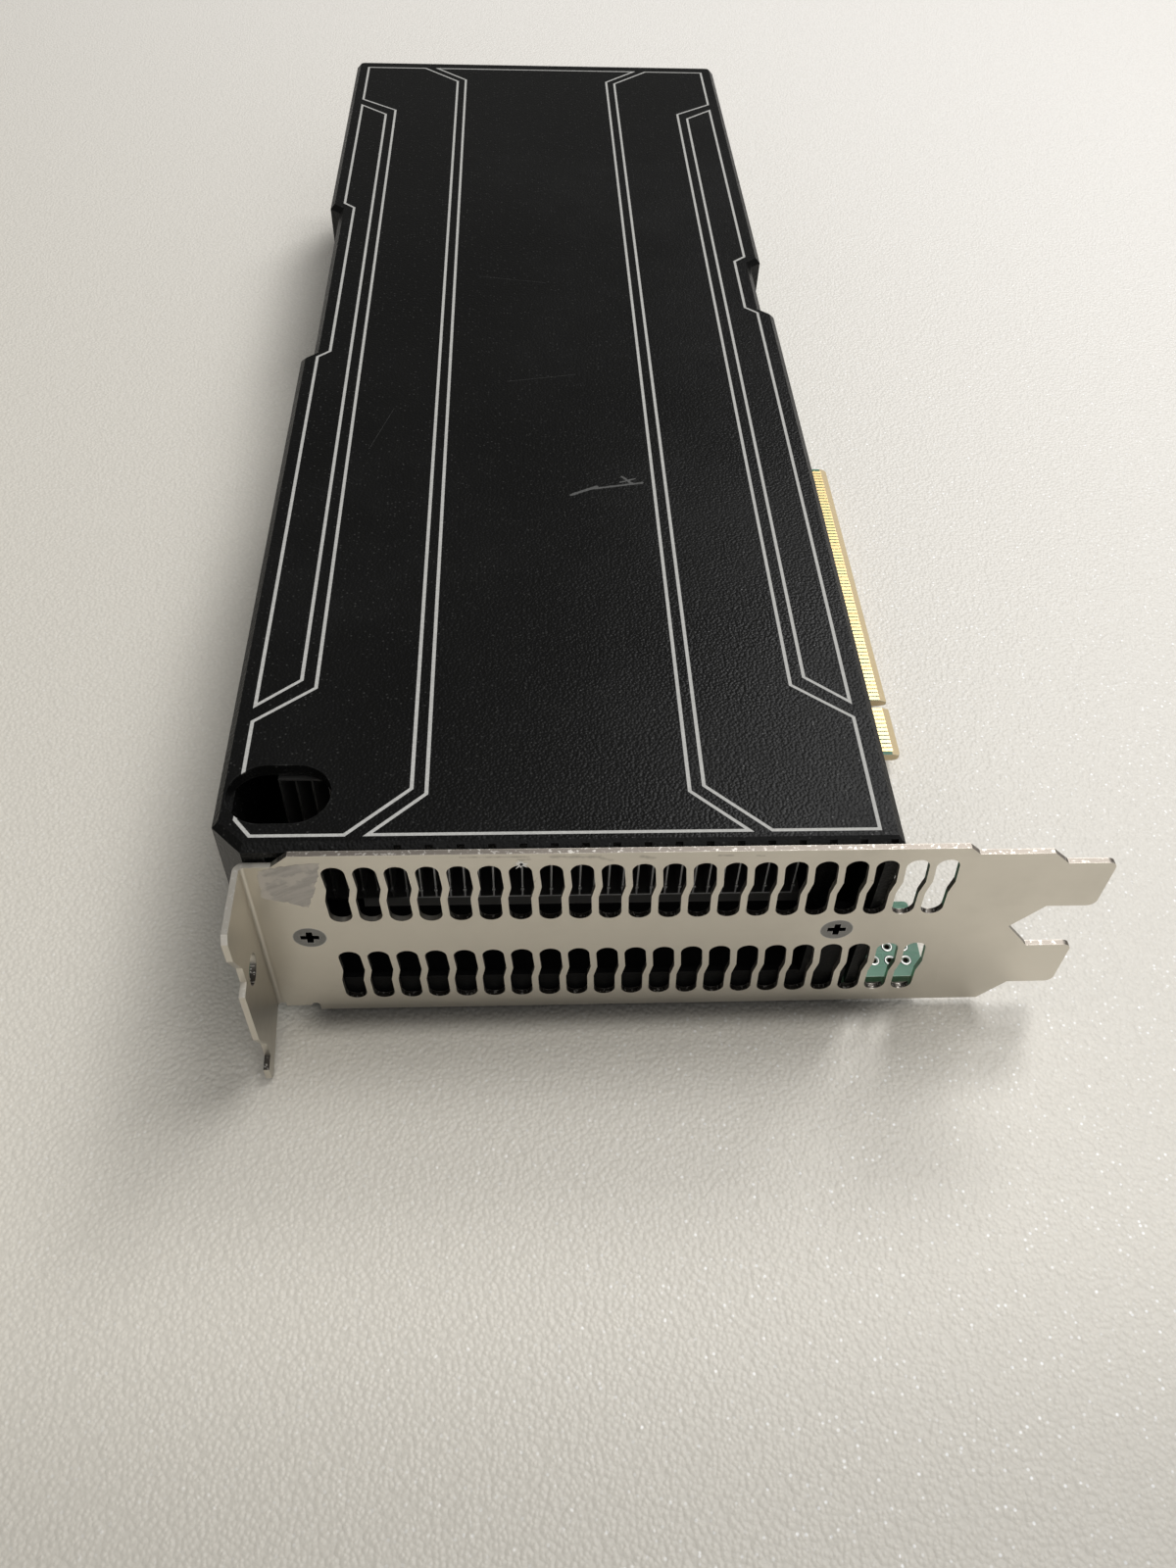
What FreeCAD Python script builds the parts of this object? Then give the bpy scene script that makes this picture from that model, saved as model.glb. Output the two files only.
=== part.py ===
import FreeCAD, Part
import math
import os
import re

import Sketcher

# Passive dual-slot accelerator card, lying flat with its component side up.
#
# Datum: X runs along the slot bracket from the outer face of its flange to the tips of
# its tongues, Y runs from the outer face of the bracket to the air inlet, and Z runs up
# from the tip of the flange, the lowest point of the card.  Every piece is modelled on
# this datum and its Placement moves the origin to the middle of the card's footprint.

doc = FreeCAD.newDocument("accelerator_card")

SIZES = [
    # slot bracket, one bent sheet
    ("bracket_length", 120.02, "flange face to tongue tips"),
    ("bracket_height", 38.74, "two slots wide"),
    ("bracket_top", 40.0, "height of the bracket's main top edge"),
    ("sheet_thickness", 0.86, "bracket sheet"),
    ("bend_radius", 0.6, "inside radius of the flange bend"),
    ("slot_pitch", 20.32, "chassis slot spacing"),
    ("fold_drop", 2.33, "top edge at the bend, below the main top edge"),
    ("fold_edge", 4.93, "where the lowered top edge ends"),
    ("shoulder", 7.4, "where the main top edge begins"),
    ("main_edge_end", 98.6, "where the main top edge ends"),
    ("step_edge_start", 100.1, "first step before the tongues"),
    ("step_edge_end", 110.5, "end of the first step"),
    ("step_drop", 1.39, "depth of the first step"),
    ("tongue_drop", 3.66, "first tongue, below the top edge"),
    ("tongue_root", 113.0, "where the tongues begin"),
    ("tongue_width", 10.19, "width of a tongue"),
    ("tongue_corner", 1.3, "corner radius of a tongue"),
    ("gap_depth", 4.1, "how far the V between the tongues reaches past their root"),
    ("foot_end", 109.3, "end of the bottom edge"),
    ("fold_lift", 2.1, "lower end of the bend, above the bottom edge"),
    ("relief_lift", 1.24, "relieved bottom edge, above the main bottom edge"),
    ("relief_start", 2.0, "start of the relieved edge"),
    ("relief_end", 5.8, "end of the relieved edge"),
    ("nick_radius", 0.65, "round nick that ends the relieved edge"),
    # flange
    ("flange_depth", 11.43, "flange, out from the bracket face"),
    ("flange_corner", 1.0, "corner cut of the flange"),
    ("flange_foot", 9.4, "where the flange's slanted lower edge ends"),
    ("flange_foot_lift", 0.5, "lift of that point above the tip"),
    ("notch_depth", 2.15, "screw notch"),
    ("notch_floor", 3.4, "length of the notch floor"),
    ("notch_ramp", 5.0, "slanted lead-in of the notch"),
    ("notch_drop", 12.2, "first notch floor, below the top edge"),
    ("flange_hole", 4.6, "round hole in the flange"),
    ("flange_hole_depth", 5.8, "hole centre, out from the bracket face"),
    ("flange_hole_drop", 17.9, "hole centre, below the top edge"),
    # wavy vents
    ("vent_count", 21, "vents in a row"),
    ("vent_pitch", 4.17, "vent spacing"),
    ("vent_first", 12.93, "centre of the first vent"),
    ("vent_width", 3.2, "width of a vent"),
    ("vent_length", 12.7, "height of a vent"),
    ("vent_middle", 20.95, "height midway between the two rows"),
    ("vent_row_offset", 10.16, "row centre from that middle"),
    ("vent_kink", 1.28, "kink height above and below the row centre"),
    ("vent_kink_right", 0.3, "upper kink, to the right"),
    ("vent_kink_left", 0.16, "lower kink, to the left"),
    # bracket screws
    ("screw_left", 7.92, "left bracket screw"),
    ("screw_right", 83.6, "right bracket screw"),
    ("screw_head", 4.8, "countersunk head"),
    ("screw_thread", 2.5, "bracket screw thread"),
    ("screw_reach", 3.4, "length of the bracket screw"),
    ("recess_width", 0.95, "arm width of the cross recess"),
    ("recess_span", 2.7, "span of the cross recess"),
    # circuit board
    ("board_left", -4.75, "long edge away from the contacts"),
    ("board_right", 98.15, "long edge beside the contacts"),
    ("board_front", 2.2, "edge behind the bracket"),
    ("board_end", 260.3, "edge at the air inlet"),
    ("board_base", 2.73, "height of the board's underside"),
    ("board_thickness", 1.57, "circuit board"),
    ("board_corner", 1.5, "corner radius"),
    ("tab_edge", 101.0, "front tab, long edge"),
    ("tab_end", 16.4, "front tab, end"),
    ("tongue_tip", 106.4, "tip of the contact tongue"),
    ("short_start", 48.5, "short contact block"),
    ("short_length", 11.65, "short contact block"),
    ("key_width", 1.9, "key slot"),
    ("long_length", 71.65, "long contact block"),
    ("hook_start", 139.0, "retention hook"),
    ("hook_length", 4.2, "retention hook"),
    ("hook_tip", 102.6, "retention hook"),
    ("bevel_length", 1.3, "lead-in bevel of the tongue"),
    ("bevel_depth", 0.4, "lead-in bevel, each face"),
    ("lead_hole", 0.9, "plated hole in the front tab"),
    ("lead_pitch", 2.54, "plated hole spacing"),
    ("lead_first_across", 93.4, "first plated hole, along the bracket"),
    ("lead_first_along", 5.1, "first plated hole, behind the bracket"),
    ("lead_columns", 3, "plated holes in a row"),
    ("lead_rows", 2, "rows of plated holes"),
    ("contact_pitch", 1.0, "edge contact spacing"),
    ("contact_width", 0.7, "edge contact"),
    ("contact_root", 100.9, "inner end of the contacts"),
    ("contact_thickness", 0.05, "edge contact"),
    ("short_contacts", 11, "contacts on the short block"),
    ("long_contacts", 71, "contacts on the long block"),
    # moulded cover
    ("cover_left", -3.2, "cover wall away from the contacts"),
    ("cover_right", 90.0, "cover wall beside the contacts"),
    ("cover_front", 1.2, "cover edge behind the bracket"),
    ("cover_end", 260.6, "cover edge at the air inlet"),
    ("cover_top", 40.3, "height of the cover's flat top"),
    ("cover_bevel", 1.0, "bevel round the top"),
    ("cover_wall", 2.0, "wall and roof thickness"),
    ("cover_corner", 2.0, "far corner radius"),
    ("corner_cut", 4.3, "slanted corner beside the flange"),
    ("left_recess", 2.2, "depth of the left recess"),
    ("left_recess_start", 119.0, "left recess, near end"),
    ("left_recess_end", 180.6, "left recess, far end"),
    ("right_recess", 2.3, "depth of the right recess"),
    ("right_recess_start", 136.3, "right recess, near end"),
    ("right_recess_end", 158.4, "right recess, far end"),
    ("recess_slant", 2.0, "slanted end of a recess"),
    ("window_width", 14.2, "oval window in the cover"),
    ("window_height", 10.3, "oval window in the cover"),
    ("window_across", 5.25, "centre of the oval window"),
    ("window_along", 10.5, "centre of the oval window"),
    ("slit_first", 21.72, "first slit in the cover's front edge"),
    ("slit_width", 1.05, "slit in the cover's front edge"),
    ("slit_depth", 0.65, "slit in the cover's front edge"),
    ("slit_height", 2.0, "slit in the cover's front edge"),
    ("slit_drop", 0.4, "top of the slits below the cover's top"),
    ("boss_diameter", 4.6, "screw boss under the roof"),
    # silver pinstripes, all about one centre line
    ("stripe_middle", 43.3, "centre line of the stripes"),
    ("stripe_width", 0.55, "width of a stripe"),
    ("groove_depth", 0.2, "groove that holds the stripe"),
    ("paint_thickness", 0.15, "paint in the groove"),
    ("stripe_near", 3.575, "near stripe"),
    ("stripe_far", 256.525, "far stripe"),
    ("outer_reach", 43.03, "outermost stripes from the centre line"),
    ("side_reach", 37.48, "inner edge of the side panels"),
    ("rail_reach", 34.7, "outer edge of the long rails"),
    ("lane_reach", 20.4, "inner edge of the long rails"),
    ("panel_reach", 17.8, "half width of the middle panel"),
    ("panel_near_reach", 24.85, "half width of the middle panel at its ends"),
    ("lane_near_reach", 28.75, "where the rails meet the near stripe"),
    ("panel_turn", 6.6, "length of the middle panel's slanted ends"),
    ("lane_turn", 7.8, "length of the rails' slanted ends"),
    ("rail_turn_start", 23.9, "outer stripe turns inwards"),
    ("rail_turn_end", 30.55, "outer stripe has turned"),
    ("rail_far_start", 230.9, "outer stripe turns outwards"),
    ("rail_far_end", 237.0, "outer stripe is back outside"),
    ("side_near", 27.75, "side panel, near corner"),
    ("side_turn", 4.7, "side panel, slanted ends"),
    ("side_far", 232.85, "side panel, far corner"),
    ("corner_stripe", 2.1, "slanted stripe at the cut corner"),
    # heat sinks
    ("fin_pitch", 2.25, "fin spacing"),
    ("fin_thickness", 0.25, "fin sheet"),
    ("fin_gaps", 34, "air gaps in a stack"),
    ("fin_first", 4.25, "outer face of the first fin"),
    ("fin_top", 37.8, "top of the fin stacks"),
    ("fin_sheet", 0.3, "folded top and foot of the stack"),
    ("sink_left", 13.2, "heat spreader"),
    ("sink_right", 82.3, "heat spreader"),
    ("sink_base", 6.8, "underside of the heat spreader"),
    ("sink_thickness", 2.1, "heat spreader"),
    ("front_sink_start", 15.2, "front heat sink"),
    ("front_sink_length", 102.8, "front heat sink"),
    ("rear_sink_start", 134.0, "rear heat sink"),
    ("rear_sink_length", 107.5, "rear heat sink"),
    # processors and memory
    ("chip_across", 47.0, "centre of both processors"),
    ("front_chip_along", 64.0, "front processor"),
    ("rear_chip_along", 190.0, "rear processor"),
    ("package_size", 40.0, "processor package"),
    ("package_thickness", 1.5, "processor package"),
    ("die_width", 17.0, "processor die"),
    ("die_length", 18.0, "processor die"),
    ("memory_width", 12.0, "memory chip"),
    ("memory_length", 14.0, "memory chip"),
    ("memory_thickness", 1.1, "memory chip"),
    ("memory_reach", 31.5, "memory rows from the processor's centre"),
    ("memory_pitch", 16.0, "memory chip spacing"),
    ("pad_thickness", 0.2, "thermal pad"),
    ("bridge_size", 14.0, "bus bridge chip"),
    ("bridge_along", 126.0, "bus bridge chip"),
    ("bridge_thickness", 1.2, "bus bridge chip"),
    # cast base plate
    ("plate_left", 1.4, "base plate"),
    ("plate_right", 84.8, "base plate"),
    ("plate_end", 258.8, "base plate"),
    ("plate_base", 5.6, "underside of the base plate"),
    ("plate_thickness", 1.2, "base plate"),
    ("chip_window", 48.0, "opening round a processor"),
    ("far_window_left", 29.0, "opening over the power parts"),
    ("far_window_right", 74.0, "opening over the power parts"),
    ("far_window_start", 242.4, "opening over the power parts"),
    ("far_window_end", 252.6, "opening over the power parts"),
    ("socket_cut", 26.0, "corner left free for the power socket"),
    ("socket_cut_start", 246.8, "corner left free for the power socket"),
    ("lip_front", 1.3, "front lip of the base plate"),
    ("lip_thickness", 0.8, "front lip of the base plate"),
    ("lip_left", 4.1, "front lip of the base plate"),
    ("lip_right", 87.5, "front lip of the base plate"),
    ("lip_top", 8.2, "front lip of the base plate"),
    ("ear_width", 6.6, "upright ear behind a bracket screw"),
    ("ear_back", 2.7, "rear face of the ears"),
    ("post_width", 8.0, "threaded post at the air inlet"),
    ("post_depth", 6.0, "threaded post at the air inlet"),
    ("post_top", 15.0, "threaded post at the air inlet"),
    ("post_near", 33.0, "first threaded post"),
    ("post_far", 79.5, "second threaded post"),
    ("post_thread", 3.0, "thread of the posts"),
    ("standoff_diameter", 5.0, "standoff under the base plate"),
    # power parts
    ("socket_left", 3.0, "eight-way power socket"),
    ("socket_pitch", 4.2, "power socket"),
    ("socket_columns", 4, "power socket"),
    ("socket_rows", 2, "power socket"),
    ("socket_margin", 1.1, "power socket"),
    ("socket_start", 247.2, "power socket"),
    ("cavity_width", 3.3, "power socket cavity"),
    ("cavity_depth", 11.0, "power socket cavity"),
    ("pin_width", 1.1, "power pin"),
    ("coil_size", 9.0, "power inductor"),
    ("coil_height", 6.0, "power inductor"),
    ("coil_pitch", 10.8, "power inductor spacing"),
    ("coil_count", 4, "power inductors"),
    ("coil_along", 247.5, "power inductors"),
    ("coil_first", 35.0, "first power inductor"),
    # underside
    ("spring_reach", 22.5, "spring plate screw from the processor's centre"),
    ("spring_width", 9.0, "arm of the spring plate"),
    ("spring_thickness", 1.0, "spring plate"),
    ("spring_opening", 11.0, "opening in the middle of the spring plate"),
]
ALIASES = {alias for alias, _, _ in SIZES}

sheet = doc.addObject("Spreadsheet::Sheet", "Dims")
for row, (alias, number, note) in enumerate(SIZES, start=1):
    sheet.set(f"A{row}", alias.replace("_", " ") + ": " + note)
    sheet.set(f"B{row}", str(number))
    sheet.setAlias(f"B{row}", alias)
doc.recompute()


def bound(text):
    """Expression on the sheet: every alias in the text gets the sheet's name."""
    return re.sub(r"[a-z_]+", lambda word: f"Dims.{word[0]}" if word[0] in ALIASES else word[0], text)


def size(text):
    """Number that an expression in the sheet's aliases gives."""
    return float(sheet.evalExpression(bound(text)))


# --- modelling helpers ------------------------------------------------------------------

ORIGIN_SHIFT = {
    "x": "-(bracket_length + board_left) / 2",
    "y": "-(cover_end - flange_depth) / 2",
    "z": "0",
}
sub_parts = []


def finish(item, name):
    """Name a sub-part and place it on the card's own origin."""
    item.Label = name
    for axis, text in ORIGIN_SHIFT.items():
        item.setExpression(f"Placement.Base.{axis}", bound(text))
    sub_parts.append(item)
    return item


def new_body(name):
    """Empty PartDesign body."""
    return doc.addObject("PartDesign::Body", f"{name}_body")


def sketch_on(body, plane, height="0"):
    """Empty sketch on one of the body's origin planes, moved along its normal."""
    sketch = body.newObject("Sketcher::SketchObject", "Sketch")
    base = next(item for item in body.Origin.OriginFeatures if item.Role == plane)
    sketch.AttachmentSupport = [(base, "")]
    sketch.MapMode = "FlatFace"
    sketch.setExpression("AttachmentOffset.Base.z", bound(height))
    return sketch


def fix(sketch, kind, geometry, end, text):
    """Tie one coordinate of a sketch point to an expression on the sheet."""
    index = sketch.addConstraint(Sketcher.Constraint(kind, geometry, end, size(text)))
    sketch.setExpression(f"Constraints[{index}]", bound(text))


def fix_point(sketch, geometry, end, across, up):
    """Tie both coordinates of a sketch point to expressions on the sheet."""
    fix(sketch, "DistanceX", geometry, end, across)
    fix(sketch, "DistanceY", geometry, end, up)


def outline(sketch, corners, round_sides=()):
    """Closed outline through corners given as expressions.

    A side listed in round_sides is a half circle that bulges to the right of its
    direction, the others are straight.
    """
    points = [FreeCAD.Vector(size(across), size(up), 0) for across, up in corners]
    first = sketch.GeometryCount
    for index, start in enumerate(points):
        stop = points[(index + 1) % len(points)]
        if index in round_sides:
            middle = (start + stop) / 2
            reach = (stop - start) / 2
            crown = middle + FreeCAD.Vector(reach.y, -reach.x, 0)
            sketch.addGeometry(Part.Arc(start, crown, stop), False)
        else:
            sketch.addGeometry(Part.LineSegment(start, stop), False)
    for index, (across, up) in enumerate(corners):
        following = (index + 1) % len(corners)
        ends = [1 if side not in round_sides else arc_start(sketch, first + side, points[side])
                for side in (index, following)]
        sketch.addConstraint(Sketcher.Constraint(
            "Coincident", first + index, 3 - ends[0], first + following, ends[1]))
        fix_point(sketch, first + index, ends[0], across, up)
        if index in round_sides:
            next_across, next_up = corners[following]
            chord = points[following] - points[index]
            if abs(chord.x) > abs(chord.y):
                fix(sketch, "DistanceY", first + index, 3, f"(({up}) + ({next_up})) / 2")
            else:
                fix(sketch, "DistanceX", first + index, 3, f"(({across}) + ({next_across})) / 2")


def arc_start(sketch, geometry, point):
    """Which end of an arc lies at the point: sketches keep arcs counter-clockwise."""
    start = sketch.getPoint(geometry, 1)
    return 1 if start.distanceToPoint(point) < 1e-6 else 2


def rectangle(sketch, left, low, right, high):
    """Rectangle between expressions for its sides."""
    outline(sketch, [(left, low), (right, low), (right, high), (left, high)])


def circle(sketch, across, up, diameter):
    """Circle whose centre and diameter are expressions."""
    centre = FreeCAD.Vector(size(across), size(up), 0)
    index = sketch.addGeometry(
        Part.Circle(centre, FreeCAD.Vector(0, 0, 1), size(diameter) / 2), False)
    limit = sketch.addConstraint(Sketcher.Constraint("Diameter", index, size(diameter)))
    sketch.setExpression(f"Constraints[{limit}]", bound(diameter))
    fix_point(sketch, index, 3, across, up)


def extrude(body, kind, sketch, length, flip=False):
    """Pad or Pocket of a sketch; flip sends it the other way."""
    feature = body.newObject(f"PartDesign::{kind}", kind)
    feature.Profile = sketch
    feature.setExpression("Length", bound(length))
    feature.Reversed = flip
    doc.recompute()
    return feature


def pad(body, sketch, length, flip=False):
    """Add material on the sketch's normal side."""
    return extrude(body, "Pad", sketch, length, flip)


def pocket(body, sketch, length, flip=False):
    """Remove material behind the sketch; it must cut something."""
    before = body.Shape.Volume
    feature = extrude(body, "Pocket", sketch, length, flip)
    if body.Shape.Volume > before - 1e-6:
        raise ValueError(f"{body.Name}: {feature.Name} cuts nothing")
    return feature


def repeat(body, feature, sketch, axis, spacing, count):
    """Linear pattern of a feature along an axis of its sketch."""
    pattern = body.newObject("PartDesign::LinearPattern", "LinearPattern")
    pattern.Originals = [feature]
    pattern.Direction = (sketch, [axis])
    pattern.setExpression("Length", bound(f"({spacing}) * ({count} - 1)"))
    pattern.setExpression("Occurrences", bound(count))
    body.Tip = pattern
    doc.recompute()
    return pattern


def edges_where(shape, test):
    """Names of the edges whose every vertex passes the test."""
    return [f"Edge{number}" for number, edge in enumerate(shape.Edges, start=1)
            if all(test(vertex.Point) for vertex in edge.Vertexes)]


def upright_at(across, along):
    """Test for the edges that stand at one place of the plan."""
    x, y = size(across), size(along)
    return lambda point: abs(point.x - x) < 1e-3 and abs(point.y - y) < 1e-3


def dress_up(body, kind, dimension, text, tests):
    """Fillet or Chamfer on the edges that pass any of the tests."""
    base = body.Tip
    names = [name for test in tests for name in edges_where(base.Shape, test)]
    feature = body.newObject(f"PartDesign::{kind}", kind)
    feature.Base = (base, names)
    feature.setExpression(dimension, bound(text))
    doc.recompute()


def round_edges(body, radius, tests):
    """Fillet the edges that pass any of the tests."""
    dress_up(body, "Fillet", "Radius", radius, tests)


def box(left, front, low, width, depth, height):
    """Plain block from expressions."""
    corner = FreeCAD.Vector(size(left), size(front), size(low))
    return Part.makeBox(size(width), size(depth), size(height), corner)


def group(name, shapes):
    """One node that holds several separate identical pieces."""
    feature = doc.addObject("Part::Feature", f"{name}_group")
    feature.Shape = Part.makeCompound(shapes)
    return finish(feature, name)


# --- slot bracket ------------------------------------------------------------------------

BOTTOM = "bracket_top - bracket_height"
VENT_ROWS = ("vent_middle - vent_row_offset", "vent_middle + vent_row_offset")
SCREW_PLACES = ("screw_left", "screw_right")


def bracket_face(body):
    """Face sheet with its stepped top edge and the two tongues."""
    first_tongue = "bracket_top - tongue_drop"
    second_tongue = f"{first_tongue} - slot_pitch"
    top = "bracket_top - fold_drop"
    sketch = sketch_on(body, "XZ_Plane")
    outline(sketch, [
        ("sheet_thickness + bend_radius", top),
        ("fold_edge", top),
        ("shoulder", "bracket_top"),
        ("main_edge_end", "bracket_top"),
        ("step_edge_start", "bracket_top - step_drop"),
        ("step_edge_end", "bracket_top - step_drop"),
        ("tongue_root", first_tongue),
        ("bracket_length", first_tongue),
        ("bracket_length", f"{first_tongue} - tongue_width"),
        ("tongue_root", f"{first_tongue} - tongue_width"),
        ("tongue_root - gap_depth", f"{first_tongue} - (tongue_width + slot_pitch) / 2"),
        ("tongue_root", second_tongue),
        ("bracket_length", second_tongue),
        ("bracket_length", f"{second_tongue} - tongue_width"),
        ("tongue_root", f"{second_tongue} - tongue_width"),
        ("foot_end", BOTTOM),
        ("relief_end + 2 * nick_radius", BOTTOM),
        ("relief_end + 2 * nick_radius", f"{BOTTOM} + relief_lift"),
        ("relief_end", f"{BOTTOM} + relief_lift"),
        ("relief_start", f"{BOTTOM} + relief_lift"),
        ("relief_start", f"{BOTTOM} + fold_lift"),
        ("sheet_thickness + bend_radius", f"{BOTTOM} + fold_lift"),
    ], round_sides=(17,))
    pad(body, sketch, "sheet_thickness", flip=True)
    tips = (first_tongue, f"{first_tongue} - tongue_width",
            second_tongue, f"{second_tongue} - tongue_width")
    corners = [size(height) for height in tips]
    length = size("bracket_length")
    round_edges(body, "tongue_corner", [
        lambda point, corner=corner: abs(point.x - length) < 1e-3 and abs(point.z - corner) < 1e-3
        for corner in corners])


def bracket_bend(body):
    """Quarter-turn bend from the face to the flange."""
    sketch = sketch_on(body, "XZ_Plane", "bend_radius")
    sketch.setExpression("AttachmentOffset.Base.x", bound("sheet_thickness + bend_radius"))
    rectangle(sketch, "-(sheet_thickness + bend_radius)", f"{BOTTOM} + fold_lift",
              "-bend_radius", "bracket_top - fold_drop")
    bend = body.newObject("PartDesign::Revolution", "Bend")
    bend.Profile = sketch
    bend.ReferenceAxis = (sketch, ["V_Axis"])
    bend.Angle = 90
    bend.Reversed = True
    doc.recompute()


def bracket_flange(body):
    """Flange with a screw notch for each slot and its round hole."""
    edge = "-flange_depth"
    floor = "-(flange_depth - notch_depth)"
    corners = [
        ("-bend_radius", "bracket_top - fold_drop"),
        ("-(flange_depth - flange_corner)", "bracket_top - fold_drop"),
        (edge, "bracket_top - fold_drop - flange_corner"),
    ]
    for slot in range(2):
        notch = f"bracket_top - notch_drop - {slot} * slot_pitch"
        corners += [
            (edge, f"{notch} + notch_ramp"),
            (floor, notch),
            (floor, f"{notch} - notch_floor"),
            (edge, f"{notch} - notch_floor - flange_foot_lift"),
        ]
    corners += [
        (edge, "flange_corner"),
        ("-(flange_depth - flange_corner)", "0"),
        ("-flange_foot", "flange_foot_lift"),
        ("-bend_radius", f"{BOTTOM} + fold_lift"),
    ]
    sketch = sketch_on(body, "YZ_Plane")
    outline(sketch, corners)
    circle(sketch, "-flange_hole_depth", "bracket_top - flange_hole_drop", "flange_hole")
    pad(body, sketch, "sheet_thickness")


def vent_outline(sketch, row):
    """One vent: round ends, and sides that wave right and then left."""
    half = "vent_width / 2"
    bend = "(vent_length / 2 - vent_width / 2)"
    spine = [
        ("vent_first", f"{row} - {bend}"),
        ("vent_first - vent_kink_left", f"{row} - vent_kink"),
        ("vent_first + vent_kink_right", f"{row} + vent_kink"),
        ("vent_first", f"{row} + {bend}"),
    ]
    right = [(f"{across} + {half}", up) for across, up in spine]
    left = [(f"{across} - {half}", up) for across, up in reversed(spine)]
    outline(sketch, right + left, round_sides=(3, 7))


def io_bracket():
    """Slot bracket: bent sheet, two rows of wavy vents and two countersinks."""
    body = new_body("io_bracket")
    bracket_face(body)
    bracket_bend(body)
    bracket_flange(body)
    vents = sketch_on(body, "XZ_Plane")
    for row in VENT_ROWS:
        vent_outline(vents, row)
    cut = pocket(body, vents, "sheet_thickness")
    repeat(body, cut, vents, "H_Axis", "vent_pitch", "vent_count")
    sinks = sketch_on(body, "XZ_Plane")
    for place in SCREW_PLACES:
        circle(sinks, place, "vent_middle", "screw_head")
    countersink = pocket(body, sinks, "sheet_thickness")
    countersink.TaperAngle = -45
    doc.recompute()
    finish(body, "io_bracket")


def bracket_screws():
    """Two countersunk screws with cross recesses."""
    head = size("screw_head") / 2
    thread = size("screw_thread") / 2
    neck = head - thread
    profile = [(0, 0), (head, 0), (thread, neck), (thread, size("screw_reach")),
               (0, size("screw_reach"))]
    wire = Part.makePolygon([FreeCAD.Vector(r, y, 0) for r, y in profile + profile[:1]])
    screw = Part.Face(wire).revolve(FreeCAD.Vector(), FreeCAD.Vector(0, 1, 0), 360)
    arm, span = size("recess_width"), size("recess_span")
    for width, height in ((arm, span), (span, arm)):
        corner = FreeCAD.Vector(-width / 2, 0, -height / 2)
        screw = screw.cut(Part.makeBox(width, neck, height, corner))
    screw = screw.removeSplitter()
    middle = size("vent_middle")
    group("bracket_screws",
          [screw.translated(FreeCAD.Vector(size(place), 0, middle)) for place in SCREW_PLACES])


# --- circuit board -----------------------------------------------------------------------

BOARD_TOP = "board_base + board_thickness"
KEY_START = "short_start + short_length"
LONG_START = f"{KEY_START} + key_width"
LONG_END = f"{LONG_START} + long_length"
CHIPS = {"front": "front_chip_along", "rear": "rear_chip_along"}
STANDOFFS = [("7", "8.5"), ("83", "122.5"), ("6", "122.5"), ("6", "238.5"), ("80.5", "250.2")]
BOSSES = [("84", "12"), ("83.2", "130"), ("3.2", "130"), ("3.6", "244.1"), ("83.8", "245.5")]


def lead_places():
    """Centres of the plated holes in the front tab."""
    return [(f"lead_first_across + {column} * lead_pitch", f"lead_first_along + {row} * lead_pitch")
            for row in range(int(size("lead_rows"))) for column in range(int(size("lead_columns")))]


def circuit_board():
    """Board with its front tab, keyed contact tongue, retention hook and bevelled tip."""
    body = new_body("circuit_board")
    sketch = sketch_on(body, "XY_Plane", "board_base")
    outline(sketch, [
        ("board_left", "board_front"),
        ("tab_edge", "board_front"),
        ("tab_edge", "tab_end"),
        ("board_right", "tab_end"),
        ("board_right", "short_start"),
        ("tongue_tip", "short_start"),
        ("tongue_tip", KEY_START),
        ("board_right", KEY_START),
        ("board_right", LONG_START),
        ("tongue_tip", LONG_START),
        ("tongue_tip", LONG_END),
        ("board_right", LONG_END),
        ("board_right", "hook_start"),
        ("hook_tip", "hook_start"),
        ("hook_tip", "hook_start + hook_length"),
        ("board_right", "hook_start + hook_length"),
        ("board_right", "board_end"),
        ("board_left", "board_end"),
    ])
    for across, along in lead_places():
        circle(sketch, across, along, "lead_hole")
    pad(body, sketch, "board_thickness")
    round_edges(body, "board_corner / 2", [
        upright_at("tab_edge", "tab_end"),
        upright_at("tongue_tip", "short_start"),
        upright_at("tongue_tip", LONG_END),
        upright_at("board_right", "board_end"),
        upright_at("board_left", "board_end"),
    ])
    bevel = sketch_on(body, "XZ_Plane", f"-({LONG_END})")
    for face, inward in (("board_base", "+"), (BOARD_TOP, "-")):
        outline(bevel, [
            ("tongue_tip - bevel_length", face),
            ("tongue_tip", face),
            ("tongue_tip", f"{face} {inward} bevel_depth"),
        ])
    pocket(body, bevel, f"{LONG_END} - short_start", flip=True)
    finish(body, "circuit_board")


def edge_contacts():
    """Gold contacts on both faces of the tongue, either side of the key slot."""
    length = size("tongue_tip - bevel_length - contact_root")
    width, thickness = size("contact_width"), size("contact_thickness")
    blocks = ((f"{KEY_START}", -1, "short_contacts"), (LONG_START, 1, "long_contacts"))
    contacts = []
    for start, direction, count in blocks:
        for number in range(int(size(count))):
            along = size(start) + direction * size("contact_pitch") * (number + 0.5)
            for low in (size(BOARD_TOP), size("board_base") - thickness):
                corner = FreeCAD.Vector(size("contact_root"), along - width / 2, low)
                contacts.append(Part.makeBox(length, width, thickness, corner))
    group("edge_contacts", contacts)


# --- moulded cover and its stripes ---------------------------------------------------------

ROOF = "cover_top - cover_wall"


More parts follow.
